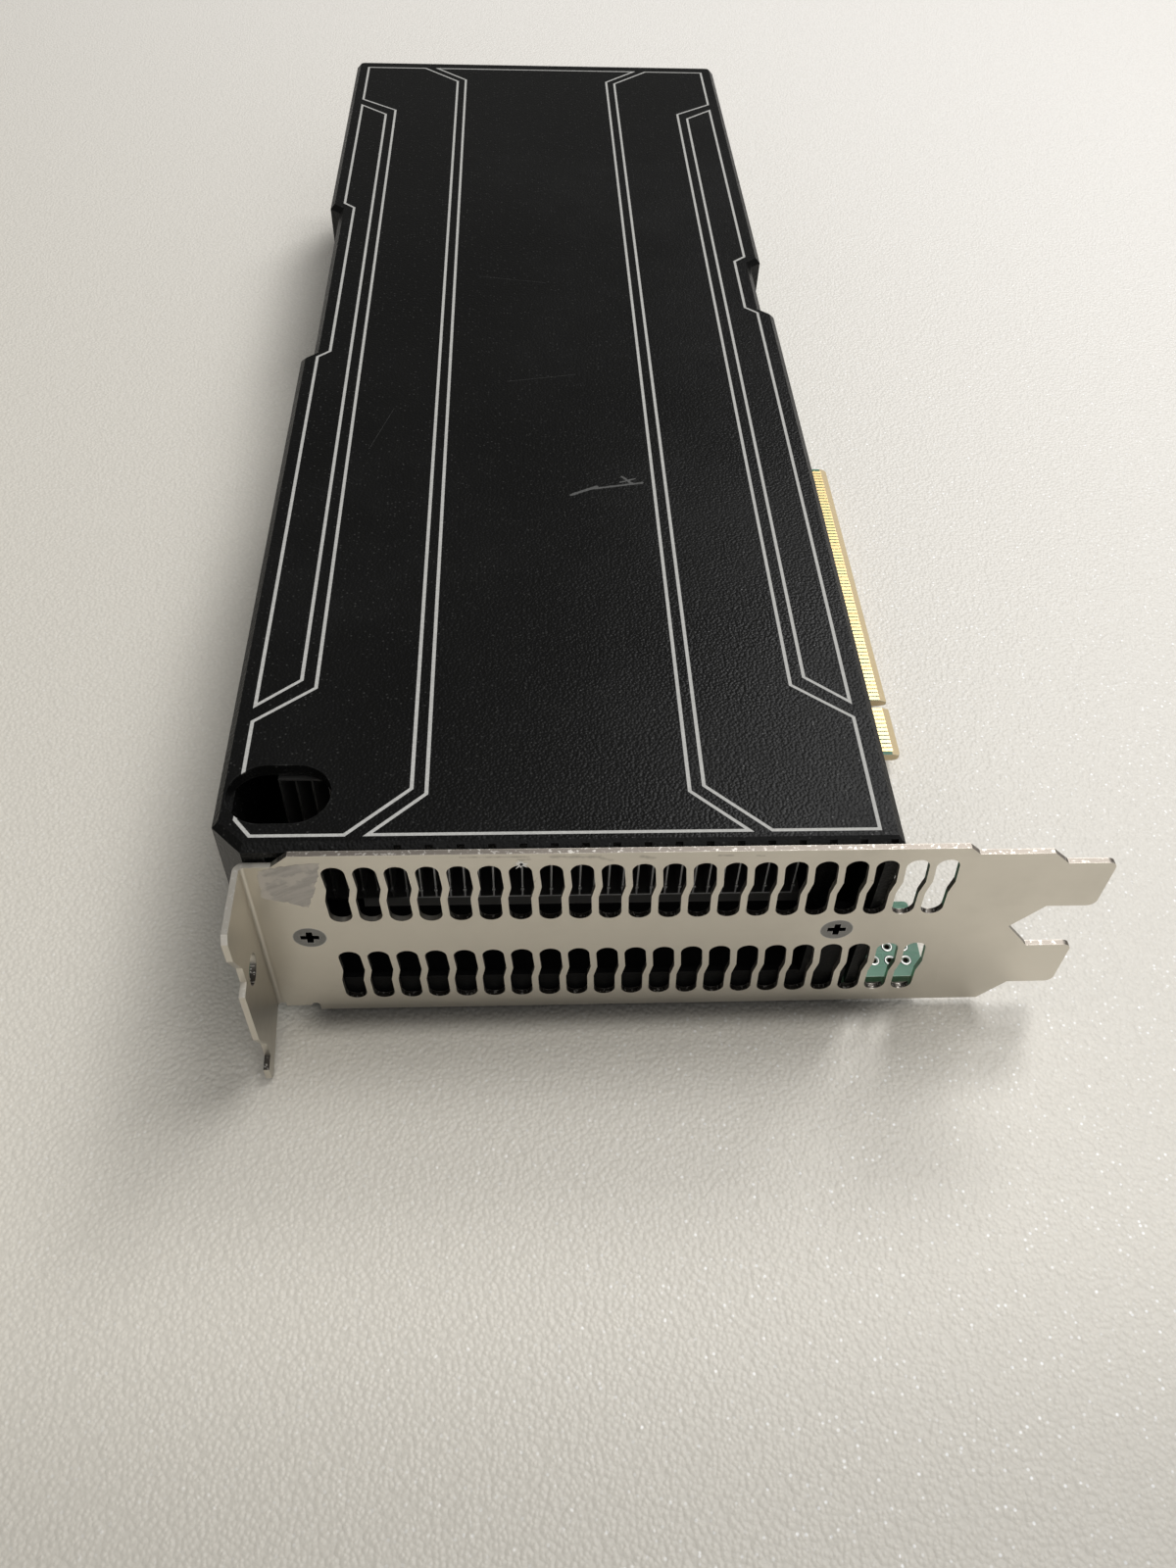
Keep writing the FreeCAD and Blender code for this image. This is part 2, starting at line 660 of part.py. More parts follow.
def cover_walls(inset):
    """Plan of the cover, drawn inwards by the inset, without its two ends."""
    left = f"cover_left + {inset}"
    right = f"cover_right - {inset}"
    left_side = [
        (left, "left_recess_start"),
        (f"{left} + left_recess", "left_recess_start + recess_slant"),
        (f"{left} + left_recess", "left_recess_end - recess_slant"),
        (left, "left_recess_end"),
    ]
    right_side = [
        (right, "right_recess_end"),
        (f"{right} - right_recess", "right_recess_end - recess_slant"),
        (f"{right} - right_recess", "right_recess_start + recess_slant"),
        (right, "right_recess_start"),
    ]
    return left_side, right_side


def cover_shell(body):
    """Outer form, bevelled round the top, hollow and open at both ends."""
    left_side, right_side = cover_walls("0")
    plan = sketch_on(body, "XY_Plane", BOARD_TOP)
    outline(plan, [
        ("cover_left", "cover_front + corner_cut"),
        *left_side,
        ("cover_left", "cover_end"),
        ("cover_right", "cover_end"),
        *right_side,
        ("cover_right", "cover_front"),
        ("cover_left + corner_cut", "cover_front"),
    ])
    pad(body, plan, f"cover_top - ({BOARD_TOP})")
    round_edges(body, "cover_corner", [
        upright_at("cover_left", "cover_end"), upright_at("cover_right", "cover_end")])
    top = size("cover_top")
    dress_up(body, "Chamfer", "Size", "cover_bevel", [lambda point: abs(point.z - top) < 1e-3])
    left_side, right_side = cover_walls("cover_wall")
    duct = sketch_on(body, "XY_Plane", BOARD_TOP)
    outline(duct, [
        ("cover_left + cover_wall", "cover_front + corner_cut + cover_wall / 2"),
        *left_side,
        ("cover_left + cover_wall", "cover_end + cover_wall"),
        ("cover_right - cover_wall", "cover_end + cover_wall"),
        *right_side,
        ("cover_right - cover_wall", "cover_front - cover_wall"),
        ("cover_left + corner_cut + 3 * cover_wall / 2", "cover_front - cover_wall"),
        ("cover_left + corner_cut + 3 * cover_wall / 2", "cover_front"),
    ])
    pocket(body, duct, f"{ROOF} - ({BOARD_TOP})", flip=True)


def stripe_loops():
    """The five closed stripe paths, left and right about the centre line."""
    def across(side, reach):
        return f"stripe_middle {side} {reach}"

    loops = []
    recesses = {
        "-": ("left_recess", "left_recess_start", "left_recess_end"),
        "+": ("right_recess", "right_recess_start", "right_recess_end"),
    }
    for side, (depth, start, end) in recesses.items():
        outer = across(side, "outer_reach")
        inner = across(side, f"(outer_reach - {depth})")
        corner = across(side, "(outer_reach - corner_stripe)")
        near = [(corner, "stripe_near"), (outer, "stripe_near + 5 * corner_stripe / 4")]
        loops.append([
            (across(side, "lane_near_reach"), "stripe_near"),
            *(near if side == "-" else [(outer, "stripe_near")]),
            (outer, "rail_turn_start"),
            (across(side, "rail_reach"), "rail_turn_end"),
            (across(side, "rail_reach"), "rail_far_start"),
            (outer, "rail_far_end"),
            (outer, "stripe_far"),
            (across(side, "lane_near_reach"), "stripe_far"),
            (across(side, "lane_reach"), "stripe_far - lane_turn"),
            (across(side, "lane_reach"), "stripe_near + lane_turn"),
        ])
        loops.append([
            (outer, "side_near"),
            (across(side, "side_reach"), "side_near + side_turn"),
            (across(side, "side_reach"), "side_far - side_turn"),
            (outer, "side_far"),
            (outer, f"{end} + 1"),
            (inner, f"{end} + 1 - recess_slant"),
            (inner, f"{start} + 1 + recess_slant / 2"),
            (outer, f"{start} + 1 - recess_slant / 2"),
        ])
    loops.append([
        (across("-", "panel_near_reach"), "stripe_near"),
        (across("-", "panel_reach"), "stripe_near + panel_turn"),
        (across("-", "panel_reach"), "stripe_far - panel_turn"),
        (across("-", "panel_near_reach"), "stripe_far"),
        (across("+", "panel_near_reach"), "stripe_far"),
        (across("+", "panel_reach"), "stripe_far - panel_turn"),
        (across("+", "panel_reach"), "stripe_near + panel_turn"),
        (across("+", "panel_near_reach"), "stripe_near"),
    ])
    return loops


def stripe_solid(name, low, thickness):
    """Every stripe loop as a ribbon, raised from a height by a thickness."""
    paths = doc.addObject("Sketcher::SketchObject", f"{name}_paths")
    paths.setExpression("Placement.Base.z", bound(low))
    for loop in stripe_loops():
        outline(paths, loop)
    doc.recompute()
    ribbon = doc.addObject("Part::Offset2D", f"{name}_ribbon")
    ribbon.Source = paths
    ribbon.Join = "Intersection"
    ribbon.Fill = True
    ribbon.setExpression("Value", bound("stripe_width"))
    solid = doc.addObject("Part::Extrusion", f"{name}_solid")
    solid.Base = ribbon
    solid.DirMode = "Custom"
    solid.Dir = FreeCAD.Vector(0, 0, 1)
    solid.Solid = True
    solid.setExpression("LengthFwd", bound(thickness))
    return solid


def window_tool():
    """Oval prism through the roof, beside the flange."""
    body = new_body("window")
    sketch = sketch_on(body, "XY_Plane", ROOF)
    reach = "(window_width - window_height) / 2"
    outline(sketch, [
        (f"window_across - {reach}", "window_along - window_height / 2"),
        (f"window_across + {reach}", "window_along - window_height / 2"),
        (f"window_across + {reach}", "window_along + window_height / 2"),
        (f"window_across - {reach}", "window_along + window_height / 2"),
    ], round_sides=(1, 3))
    pad(body, sketch, "2 * cover_wall")
    return body


def cut_from(name, base, tool):
    """Part::Cut of two objects."""
    cut = doc.addObject("Part::Cut", name)
    cut.Base = base
    cut.Tool = tool
    return cut


def cover_and_stripes():
    """Moulded black cover with painted pinstripes that lie in shallow grooves."""
    body = new_body("cover")
    cover_shell(body)
    bosses = sketch_on(body, "XY_Plane", "plate_base + plate_thickness")
    for across, along in BOSSES:
        circle(bosses, across, along, "boss_diameter")
    pad(body, bosses, f"{ROOF} - plate_base - plate_thickness + cover_wall / 2")
    slit = sketch_on(body, "XY_Plane", "cover_top - slit_drop - slit_height")
    rectangle(slit, "slit_first - slit_width / 2", "cover_front - slit_depth",
              "slit_first + slit_width / 2", "cover_front + slit_depth")
    cut = pocket(body, slit, "slit_height", flip=True)
    repeat(body, cut, slit, "H_Axis", "vent_pitch", "vent_count - 4")
    window = window_tool()
    grooves = stripe_solid("grooves", "cover_top - groove_depth", "2 * groove_depth")
    grooved = cut_from("grooved_cover", body, grooves)
    finish(cut_from("cover_cut", grooved, window), "cover")
    paint = stripe_solid("stripes", "cover_top - groove_depth", "paint_thickness")
    finish(cut_from("stripes_cut", paint, window), "cover_stripes")


# --- base plate ---------------------------------------------------------------------------

PLATE_TOP = "plate_base + plate_thickness"


def base_plate():
    """Cast plate over the board: chip windows, standoffs and inlet posts."""
    body = new_body("base_plate")
    plan = sketch_on(body, "XY_Plane", "plate_base")
    outline(plan, [
        ("plate_left + corner_cut", "lip_front + lip_thickness"),
        ("plate_right", "lip_front + lip_thickness"),
        ("plate_right", "plate_end"),
        ("socket_cut", "plate_end"),
        ("socket_cut", "socket_cut_start"),
        ("plate_left", "socket_cut_start"),
        ("plate_left", "lip_front + lip_thickness + corner_cut"),
    ])
    half = "chip_window / 2"
    for along in CHIPS.values():
        rectangle(plan, f"chip_across - {half}", f"{along} - {half}",
                  f"chip_across + {half}", f"{along} + {half}")
    rectangle(plan, "chip_across - bridge_size", "bridge_along - bridge_size / 2 - 0.5",
              "chip_across + bridge_size", "bridge_along + bridge_size / 2 + 0.5")
    rectangle(plan, "far_window_left", "far_window_start", "far_window_right", "far_window_end")
    pad(body, plan, "plate_thickness")
    standoffs = sketch_on(body, "XY_Plane", BOARD_TOP)
    for across, along in STANDOFFS:
        circle(standoffs, across, along, "standoff_diameter")
    pad(body, standoffs, f"plate_base - ({BOARD_TOP}) + plate_thickness / 2")
    posts = sketch_on(body, "XY_Plane", f"{PLATE_TOP} - plate_thickness / 2")
    for place in ("post_near", "post_far"):
        rectangle(posts, f"{place} - post_width / 2", "plate_end - post_depth",
                  f"{place} + post_width / 2", "plate_end")
    pad(body, posts, f"post_top - ({PLATE_TOP}) + plate_thickness / 2")
    tapped = sketch_on(body, "XZ_Plane", "-plate_end")
    for place in ("post_near", "post_far"):
        circle(tapped, place, f"(post_top + {PLATE_TOP}) / 2", "post_thread")
    pocket(body, tapped, "post_depth", flip=True)
    finish(body, "base_plate")


def front_lip():
    """Low wall before the base plate, with an ear behind each bracket screw."""
    body = new_body("front_lip")
    lip = sketch_on(body, "XZ_Plane", "-lip_front")
    ear = "ear_width / 2"
    outline(lip, [
        ("lip_left", "board_base"),
        ("lip_right", "board_base"),
        ("lip_right", "lip_top"),
        (f"screw_right + {ear}", "lip_top"),
        (f"screw_right + {ear}", "vent_middle"),
        (f"screw_right - {ear}", "vent_middle"),
        (f"screw_right - {ear}", "lip_top"),
        (f"screw_left + {ear}", "lip_top"),
        (f"screw_left + {ear}", "vent_middle"),
        (f"screw_left - {ear}", "vent_middle"),
        (f"screw_left - {ear}", "lip_top"),
        ("lip_left", "lip_top"),
    ], round_sides=(4, 8))
    pad(body, lip, "lip_thickness", flip=True)
    ears = sketch_on(body, "XZ_Plane", "-sheet_thickness")
    for place in SCREW_PLACES:
        outline(ears, [
            (f"{place} - {ear}", "lip_top"),
            (f"{place} + {ear}", "lip_top"),
            (f"{place} + {ear}", "vent_middle"),
            (f"{place} - {ear}", "vent_middle"),
        ], round_sides=(2,))
    pad(body, ears, "ear_back - sheet_thickness", flip=True)
    threads = sketch_on(body, "XZ_Plane", "-sheet_thickness")
    for place in SCREW_PLACES:
        circle(threads, place, "vent_middle", "screw_head - 2 * sheet_thickness")
    pocket(body, threads, "ear_back")
    finish(body, "front_lip")


# --- heat sinks ----------------------------------------------------------------------------

SINKS = {
    "front": ("front_sink_start", "front_sink_length"),
    "rear": ("rear_sink_start", "rear_sink_length"),
}


def fin_stack(place):
    """Folded fins: one block of sheet with an air gap cut through between each pair."""
    start, length = SINKS[place]
    low = "sink_base + sink_thickness"
    body = new_body(f"{place}_fin_stack")
    block = sketch_on(body, "XZ_Plane", f"-{start}")
    rectangle(block, "fin_first", low,
              "fin_first + fin_gaps * fin_pitch + fin_thickness", "fin_top")
    pad(body, block, length, flip=True)
    gap = sketch_on(body, "XZ_Plane", f"-{start}")
    rectangle(gap, "fin_first + fin_thickness", f"{low} + fin_sheet",
              "fin_first + fin_pitch", "fin_top - fin_sheet")
    cut = pocket(body, gap, length)
    repeat(body, cut, gap, "H_Axis", "fin_pitch", "fin_gaps")
    finish(body, f"{place}_fin_stack")


def heat_spreader(place):
    """Flat copper spreader that the fins are soldered to."""
    start, length = SINKS[place]
    body = new_body(f"{place}_heat_spreader")
    sketch = sketch_on(body, "XY_Plane", "sink_base")
    rectangle(sketch, "sink_left", start, "sink_right", f"{start} + {length}")
    pad(body, sketch, "sink_thickness")
    finish(body, f"{place}_heat_spreader")


# --- chips -----------------------------------------------------------------------------------

def chip_block(name, across, along, width, length, low, height):
    """Rectangular chip centred on a place of the board."""
    body = new_body(name)
    sketch = sketch_on(body, "XY_Plane", low)
    rectangle(sketch, f"{across} - {width} / 2", f"{along} - {length} / 2",
              f"{across} + {width} / 2", f"{along} + {length} / 2")
    pad(body, sketch, height)
    finish(body, name)


def processor(place):
    """Package and bare die of one processor."""
    along = CHIPS[place]
    chip_block(f"{place}_processor", "chip_across", along, "package_size", "package_size",
               BOARD_TOP, "package_thickness")
    package_top = f"{BOARD_TOP} + package_thickness"
    chip_block(f"{place}_die", "chip_across", along, "die_width", "die_length",
               package_top, f"sink_base - ({package_top})")


def memory_places(place):
    """Four memory chips on each side of a processor."""
    along = size(CHIPS[place])
    places = []
    for side in (-1, 1):
        for number in range(4):
            across = size("chip_across") + side * size("memory_reach")
            places.append((across, along + (number - 1.5) * size("memory_pitch")))
    return places


def memory(place):
    """Memory chips of one processor, and the pads that couple them to the base plate."""
    width, length = size("memory_width"), size("memory_length")
    board_top = size(BOARD_TOP)
    pad_low = board_top + size("memory_thickness")
    chips, pads = [], []
    for across, along in memory_places(place):
        corner = FreeCAD.Vector(across - width / 2, along - length / 2, board_top)
        chips.append(Part.makeBox(width, length, size("memory_thickness"), corner))
        corner = FreeCAD.Vector(corner.x, corner.y, pad_low)
        pads.append(Part.makeBox(width, length, size("pad_thickness"), corner))
    group(f"{place}_memory", chips)
    group(f"{place}_memory_pads", pads)


# --- power parts -----------------------------------------------------------------------------

def cavity_centres():
    """Centres of the power socket's cavities, seen from the air inlet."""
    pitch, edge = size("socket_pitch"), size("socket_margin")
    first = edge + pitch / 2
    return [(size("socket_left") + first + column * pitch, size(BOARD_TOP) + first + row * pitch)
            for column in range(int(size("socket_columns")))
            for row in range(int(size("socket_rows")))]


def power_socket():
    """Power socket housing with square cavities, and the pins inside it."""
    start, stop = "socket_start", "board_end"
    housing = box("socket_left", start, BOARD_TOP, "socket_columns * socket_pitch + 2 * socket_margin",
                  f"{stop} - {start}", "socket_rows * socket_pitch + 2 * socket_margin")
    width, depth, pin = size("cavity_width"), size("cavity_depth"), size("pin_width")
    mouth = size(stop)
    pins = []
    for across, up in cavity_centres():
        corner = FreeCAD.Vector(across - width / 2, mouth - depth, up - width / 2)
        housing = housing.cut(Part.makeBox(width, depth, width, corner))
        corner = FreeCAD.Vector(across - pin / 2, mouth - depth, up - pin / 2)
        pins.append(Part.makeBox(pin, depth - width, pin, corner))
    latch = box("socket_left + socket_columns * socket_pitch / 2 - socket_margin", f"{stop} - 4",
                f"{BOARD_TOP} + socket_rows * socket_pitch + 2 * socket_margin",
                "4 * socket_margin", "2", "socket_margin")
    housing = housing.fuse(latch).removeSplitter()
    group("power_socket", [housing])
    group("power_pins", pins)


def power_inductors():
    """Row of moulded inductors at the air inlet."""
    edge = size("coil_size")
    coils = []
    for number in range(int(size("coil_count"))):
        corner = FreeCAD.Vector(size("coil_first") + number * size("coil_pitch") - edge / 2,
                                size("coil_along") - edge / 2, size(BOARD_TOP))
        coils.append(Part.makeBox(edge, edge, size("coil_height"), corner))
    group("power_inductors", coils)


# --- underside -------------------------------------------------------------------------------

def spring_plate(place):
    """X-shaped spring plate that clamps a heat sink through the board."""
    along = CHIPS[place]
    body = new_body(f"{place}_spring_plate")
    sketch = sketch_on(body, "XY_Plane", "board_base - spring_thickness")
    tip, shoulder = "spring_reach + spring_width / 2", "spring_reach - spring_width / 4"
    quarter = [(tip, shoulder), (shoulder, tip), ("0", "1.5 * spring_width")]
    corners = []
    for _ in range(4):
        corners += [(f"chip_across + {x}", f"{along} + {y}") for x, y in quarter]
        quarter = [(f"(-({y}))", f"({x})") for x, y in quarter]
    outline(sketch, corners)
    circle(sketch, "chip_across", along, "spring_opening")
    pad(body, sketch, "spring_thickness")
    finish(body, f"{place}_spring_plate")


# --- build and write ---------------------------------------------------------------------------

def build():
    """Make every sub-part of the card."""
    io_bracket()
    bracket_screws()
    circuit_board()
    edge_contacts()
    cover_and_stripes()
    base_plate()
    front_lip()
    for place in SINKS:
        fin_stack(place)
        heat_spreader(place)
        processor(place)
        memory(place)
        spring_plate(place)
    chip_block("bridge_chip", "chip_across", "bridge_along", "bridge_size", "bridge_size",
               BOARD_TOP, "bridge_thickness")
    power_socket()
    power_inductors()
    doc.recompute()


def check():
    """Stop on a failed feature or an empty or broken shape."""
    for item in doc.Objects:
        if {"Invalid", "Error"} & set(item.State):
            raise RuntimeError(f"{item.Name} ({item.Label}) failed: {item.State}")
    for item in sub_parts:
        if item.Shape.isNull() or not item.Shape.isValid():
            raise RuntimeError(f"{item.Label} has no valid shape")


def write():
    """Write one STEP file for each sub-part."""
    os.makedirs("parts", exist_ok=True)
    for item in sub_parts:
        item.Shape.exportStep(f"parts/{item.Label}.step")
        bounds = item.Shape.BoundBox
        print(f"{item.Label}: {item.Shape.Volume:.1f} mm3, z {bounds.ZMin:.2f} to {bounds.ZMax:.2f}")


build()
check()
write()
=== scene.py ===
import math

import bmesh
import bpy
from mathutils import Matrix, Vector


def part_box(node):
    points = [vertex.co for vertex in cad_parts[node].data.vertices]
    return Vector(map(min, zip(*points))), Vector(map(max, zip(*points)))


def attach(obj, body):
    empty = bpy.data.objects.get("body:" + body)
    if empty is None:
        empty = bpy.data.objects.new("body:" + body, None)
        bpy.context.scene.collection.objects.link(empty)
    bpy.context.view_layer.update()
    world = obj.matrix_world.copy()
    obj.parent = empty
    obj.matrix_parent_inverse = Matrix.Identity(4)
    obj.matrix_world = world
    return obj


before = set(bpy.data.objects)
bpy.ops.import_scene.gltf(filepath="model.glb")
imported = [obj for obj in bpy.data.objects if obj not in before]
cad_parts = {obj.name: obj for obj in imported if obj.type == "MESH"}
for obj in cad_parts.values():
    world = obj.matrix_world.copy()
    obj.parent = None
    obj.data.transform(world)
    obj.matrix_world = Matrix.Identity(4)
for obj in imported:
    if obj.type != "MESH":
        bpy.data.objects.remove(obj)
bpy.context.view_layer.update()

bl_info = {
    "name": "Passive Accelerator Card",
    "version": (1, 0, 0),
    "blender": (4, 5, 0),
    "location": "View3D > Sidebar > Accelerator Card",
    "description": "Dresses a passive accelerator card: finishes, small hardware and studio",
    "category": "Object",
}

ROOT = "root"
MM = 0.001
# The card's own datum, as its sketches use it, seen from the origin of the frame.
DATUM = Vector((-57.635, -124.585, 0.0)) * MM


def place(x, y, z):
    """Point of the frame for a place on the card's datum, in millimetres."""
    return DATUM + Vector((x, y, z)) * MM


def x_at(x):
    """X of the frame for a place on the card's datum, in millimetres."""
    return DATUM.x + x * MM


def y_at(y):
    """Y of the frame for a place on the card's datum, in millimetres."""
    return DATUM.y + y * MM


# --- settings ---------------------------------------------------------------------------


def colour(name, description, default):
    """Colour property."""
    return bpy.props.FloatVectorProperty(
        name=name, description=description, default=default, subtype="COLOR", min=0, max=1)


def length(name, description, default):
    """Length property, in metres."""
    return bpy.props.FloatProperty(
        name=name, description=description, default=default, unit="LENGTH", precision=5)


class AccelCoverSettings(bpy.types.PropertyGroup):
    """Finish of the moulded cover and its stripes."""

    black: colour("Plastic", "Colour of the moulded cover", (0.0045, 0.0045, 0.0043))
    stripe: colour("Stripes", "Paint of the pinstripes", (0.50, 0.495, 0.47))
    grain: length("Grain", "Size of the moulded grain", 0.00045)
    grain_depth: length("Grain Depth", "Height of the moulded grain", 0.00006)
    roughness: bpy.props.FloatProperty(
        name="Roughness", description="Roughness of the cover", default=0.30, min=0, max=1)


class AccelMetalSettings(bpy.types.PropertyGroup):
    """Finish of the bracket, its screws and the heat sinks."""

    bracket: colour("Bracket", "Plated steel of the bracket", (0.70, 0.66, 0.583))
    # Tone of the level cut faces, partly painted shade.
    edge: colour("Cut Edges", "Sheared steel of the cut edges", (0.22, 0.195, 0.17))
    screw: colour("Screws", "Plated steel of the screws", (0.26, 0.26, 0.255))
    fins: colour("Fins", "Bare sheet of the fins", (0.95, 0.94, 0.91))
    plate: colour("Base Plate", "Black finish of the base plate", (0.003, 0.003, 0.003))
    head_diameter: length("Screw Head", "Pan head under the board", 0.005)
    head_height: length("Head Height", "Pan head under the board", 0.0012)
    tab_size: length("Fin Tab", "Size of the tab that links two fins", 0.0005)
    tab_inset: length("Tab Inset", "Tabs from the ends of a fin", 0.0023)


class AccelBoardSettings(bpy.types.PropertyGroup):
    """Finish of the circuit board and its parts."""

    mask: colour("Solder Mask", "Colour of the board", (0.036, 0.150, 0.085))
    trace: colour("Traces", "Mask over copper", (0.050, 0.185, 0.110))
    gold: colour("Contacts", "Gold of the contacts", (0.95, 0.68, 0.32))
    ring_outer: length("Ring", "Outer diameter of a solder ring", 0.0018)
    ring_inner: length("Ring Hole", "Inner diameter of a solder ring", 0.0011)


class AccelStageSettings(bpy.types.PropertyGroup):
    """Floor, light and camera."""

    floor: colour("Floor", "Colour of the floor", (0.78, 0.755, 0.715))
    world: bpy.props.FloatProperty(
        name="Ambient", description="Strength of the ambient light", default=0.15, min=0)
    lamp: bpy.props.FloatProperty(
        name="Lamp", description="Power of the main lamp", default=16.5, min=0, unit="POWER")
    lens: bpy.props.FloatProperty(
        name="Lens", description="Focal length on a 36 mm frame", default=29.383, min=1)
    eye: bpy.props.FloatVectorProperty(
        name="Eye", description="Place of the camera", subtype="TRANSLATION", unit="LENGTH",
        default=(-0.018880, -0.226996, 0.174830))
    gaze: bpy.props.FloatVectorProperty(
        name="Gaze", description="Viewing direction", subtype="DIRECTION",
        default=(0.048764, 0.646146, -0.761655))
    side: bpy.props.FloatVectorProperty(
        name="Side", description="Direction to the right of the frame", subtype="DIRECTION",
        default=(0.998762, -0.039062, 0.030807))


SETTINGS = {
    "accel_cover": AccelCoverSettings,
    "accel_metal": AccelMetalSettings,
    "accel_board": AccelBoardSettings,
    "accel_stage": AccelStageSettings,
}


# --- node helpers -----------------------------------------------------------------------


class Wiring:
    """Adds and links nodes of one tree."""

    def __init__(self, tree):
        self.tree = tree

    def node(self, kind, inputs=None, **properties):
        """New node with its properties and its inputs set or linked."""
        node = self.tree.nodes.new(kind)
        for key, value in properties.items():
            setattr(node, key, value)
        for key, value in (inputs or {}).items():
            self.feed(node.inputs[key], value)
        return node

    def feed(self, socket, value):
        """Link an output to a socket, or set the socket's value."""
        if isinstance(value, bpy.types.NodeSocket):
            self.tree.links.new(value, socket)
        elif isinstance(value, bpy.types.Node):
            self.tree.links.new(value.outputs[0], socket)
        else:
            socket.default_value = value

    def math(self, operation, first, second=0.0, clamp=False):
        """Math node's result."""
        return self.node("ShaderNodeMath", {0: first, 1: second},
                         operation=operation, use_clamp=clamp).outputs[0]

    def vector(self, operation, first, second=(0, 0, 0)):
        """Vector math node; its vector result, or its value for a dot or length."""
        node = self.node("ShaderNodeVectorMath", {0: first, 1: second}, operation=operation)
        return node.outputs["Value" if operation in ("DOT_PRODUCT", "LENGTH") else "Vector"]

    def scaled(self, vector, factor):
        """Vector times a number."""
        node = self.node("ShaderNodeVectorMath", {0: vector, "Scale": factor}, operation="SCALE")
        return node.outputs["Vector"]

    def blend(self, factor, first, second):
        """Mix of two colours."""
        return self.node("ShaderNodeMix", {"Factor": factor, 6: first, 7: second},
                         data_type="RGBA").outputs[2]

    def sized(self, start):
        """A group's vector in units of the group's size."""
        return self.scaled(start["Vector"], self.math("DIVIDE", 1.0, start["Size"]))

    def ramp(self, value, low, high, out_low=0.0, out_high=1.0):
        """Smooth step of a value from one range to another."""
        node = self.node("ShaderNodeMapRange", {
            "Value": value, "From Min": low, "From Max": high,
            "To Min": out_low, "To Max": out_high}, interpolation_type="SMOOTHSTEP")
        return node.outputs["Result"]

    def fall(self, value, low, high):
        """Smooth step down from 1 to 0."""
        return self.ramp(value, low, high, 1.0, 0.0)

    def product(self, *factors):
        """Product of several values."""
        total = factors[0]
        for factor in factors[1:]:
            total = self.math("MULTIPLY", total, factor)
        return total

    def between(self, value, rise, fall):
        """Mask that rises over one pair of limits and falls over the other."""
        return self.product(self.ramp(value, *rise), self.fall(value, *fall))

    def noise(self, vector, scale, detail=2.0, roughness=0.5):
        """Noise value over a vector."""
        return self.node("ShaderNodeTexNoise", {
            "Vector": vector, "Scale": scale, "Detail": detail, "Roughness": roughness,
        }).outputs[0]

    def place(self):
        """Object coordinates."""
        return self.node("ShaderNodeTexCoord").outputs["Object"]

    def parts(self, vector):
        """X, Y and Z of a vector."""
        return self.node("ShaderNodeSeparateXYZ", {0: vector}).outputs

    def facing(self):
        """How far the surface faces along X, Y and Z, whichever way round."""
        normal = self.node("ShaderNodeTexCoord").outputs["Normal"]
        return self.parts(self.vector("ABSOLUTE", normal))


def shader_group(name, inputs, outputs):
    """Shader node group with a vector and more sockets; returns its wiring and its two ends."""
    tree = bpy.data.node_groups.new(name, "ShaderNodeTree")
    for label, kind, default in [("Vector", "Vector", (0, 0, 0)), *inputs]:
        socket = tree.interface.new_socket(label, in_out="INPUT", socket_type=f"NodeSocket{kind}")
        socket.default_value = default
    for label in outputs:
        tree.interface.new_socket(label, in_out="OUTPUT", socket_type="NodeSocketFloat")
    wiring = Wiring(tree)
    start = wiring.node("NodeGroupInput")
    end = wiring.node("NodeGroupOutput")
    return wiring, start.outputs, end


def use_group(wiring, name, inputs):
    """Outputs of a shared group placed in a tree."""
    node = wiring.node("ShaderNodeGroup", node_tree=bpy.data.node_groups[name])
    for key, value in inputs.items():
        wiring.feed(node.inputs[key], value)
    return node.outputs


def mask_of(wiring, name, vector, **inputs):
    """Mask of a shared group placed in a tree."""
    return use_group(wiring, name, {"Vector": vector, **inputs})["Mask"]


# --- shared effects ---------------------------------------------------------------------


def grain_group():
    """Pebbled grain: small rounded bumps, and spots where a few of them catch the light, which
    materials paint as lighter specks (painted glints).
    """
    w, start, end = shader_group(
        "Moulded Grain", [("Size", "Float", 0.001)], ["Height", "Glint"])
    at = w.sized(start)
    cells = w.node("ShaderNodeTexVoronoi", {"Vector": at, "Scale": 1.0, "Smoothness": 0.4},
                   feature="SMOOTH_F1").outputs["Distance"]
    fine = w.noise(at, 1.7, 2.0, 0.5)
    w.feed(end.inputs["Height"], w.math("SUBTRACT", w.product(fine, 0.3), cells))
    spots = w.node("ShaderNodeTexVoronoi", {"Vector": at, "Scale": 0.65}).outputs
    pick = w.node("ShaderNodeSeparateColor", {0: spots["Color"]}).outputs[0]
    spot = w.fall(spots["Distance"], 0.1, 0.3)
    w.feed(end.inputs["Glint"], w.product(spot, w.ramp(pick, 0.35, 1.0)))


def smudge_group():
    """Handling marks: soft patches and a finer break-up."""
    w, start, end = shader_group("Handling Marks", [("Size", "Float", 0.03)], ["Mask"])
    at = w.sized(start)
    broad = w.ramp(w.noise(at, 1.0, 3.0, 0.55), 0.35, 0.75)
    fine = w.noise(at, 7.0, 4.0, 0.6)
    w.feed(end.inputs["Mask"], w.product(broad, w.ramp(fine, 0.3, 0.7, 0.45, 1.0)))


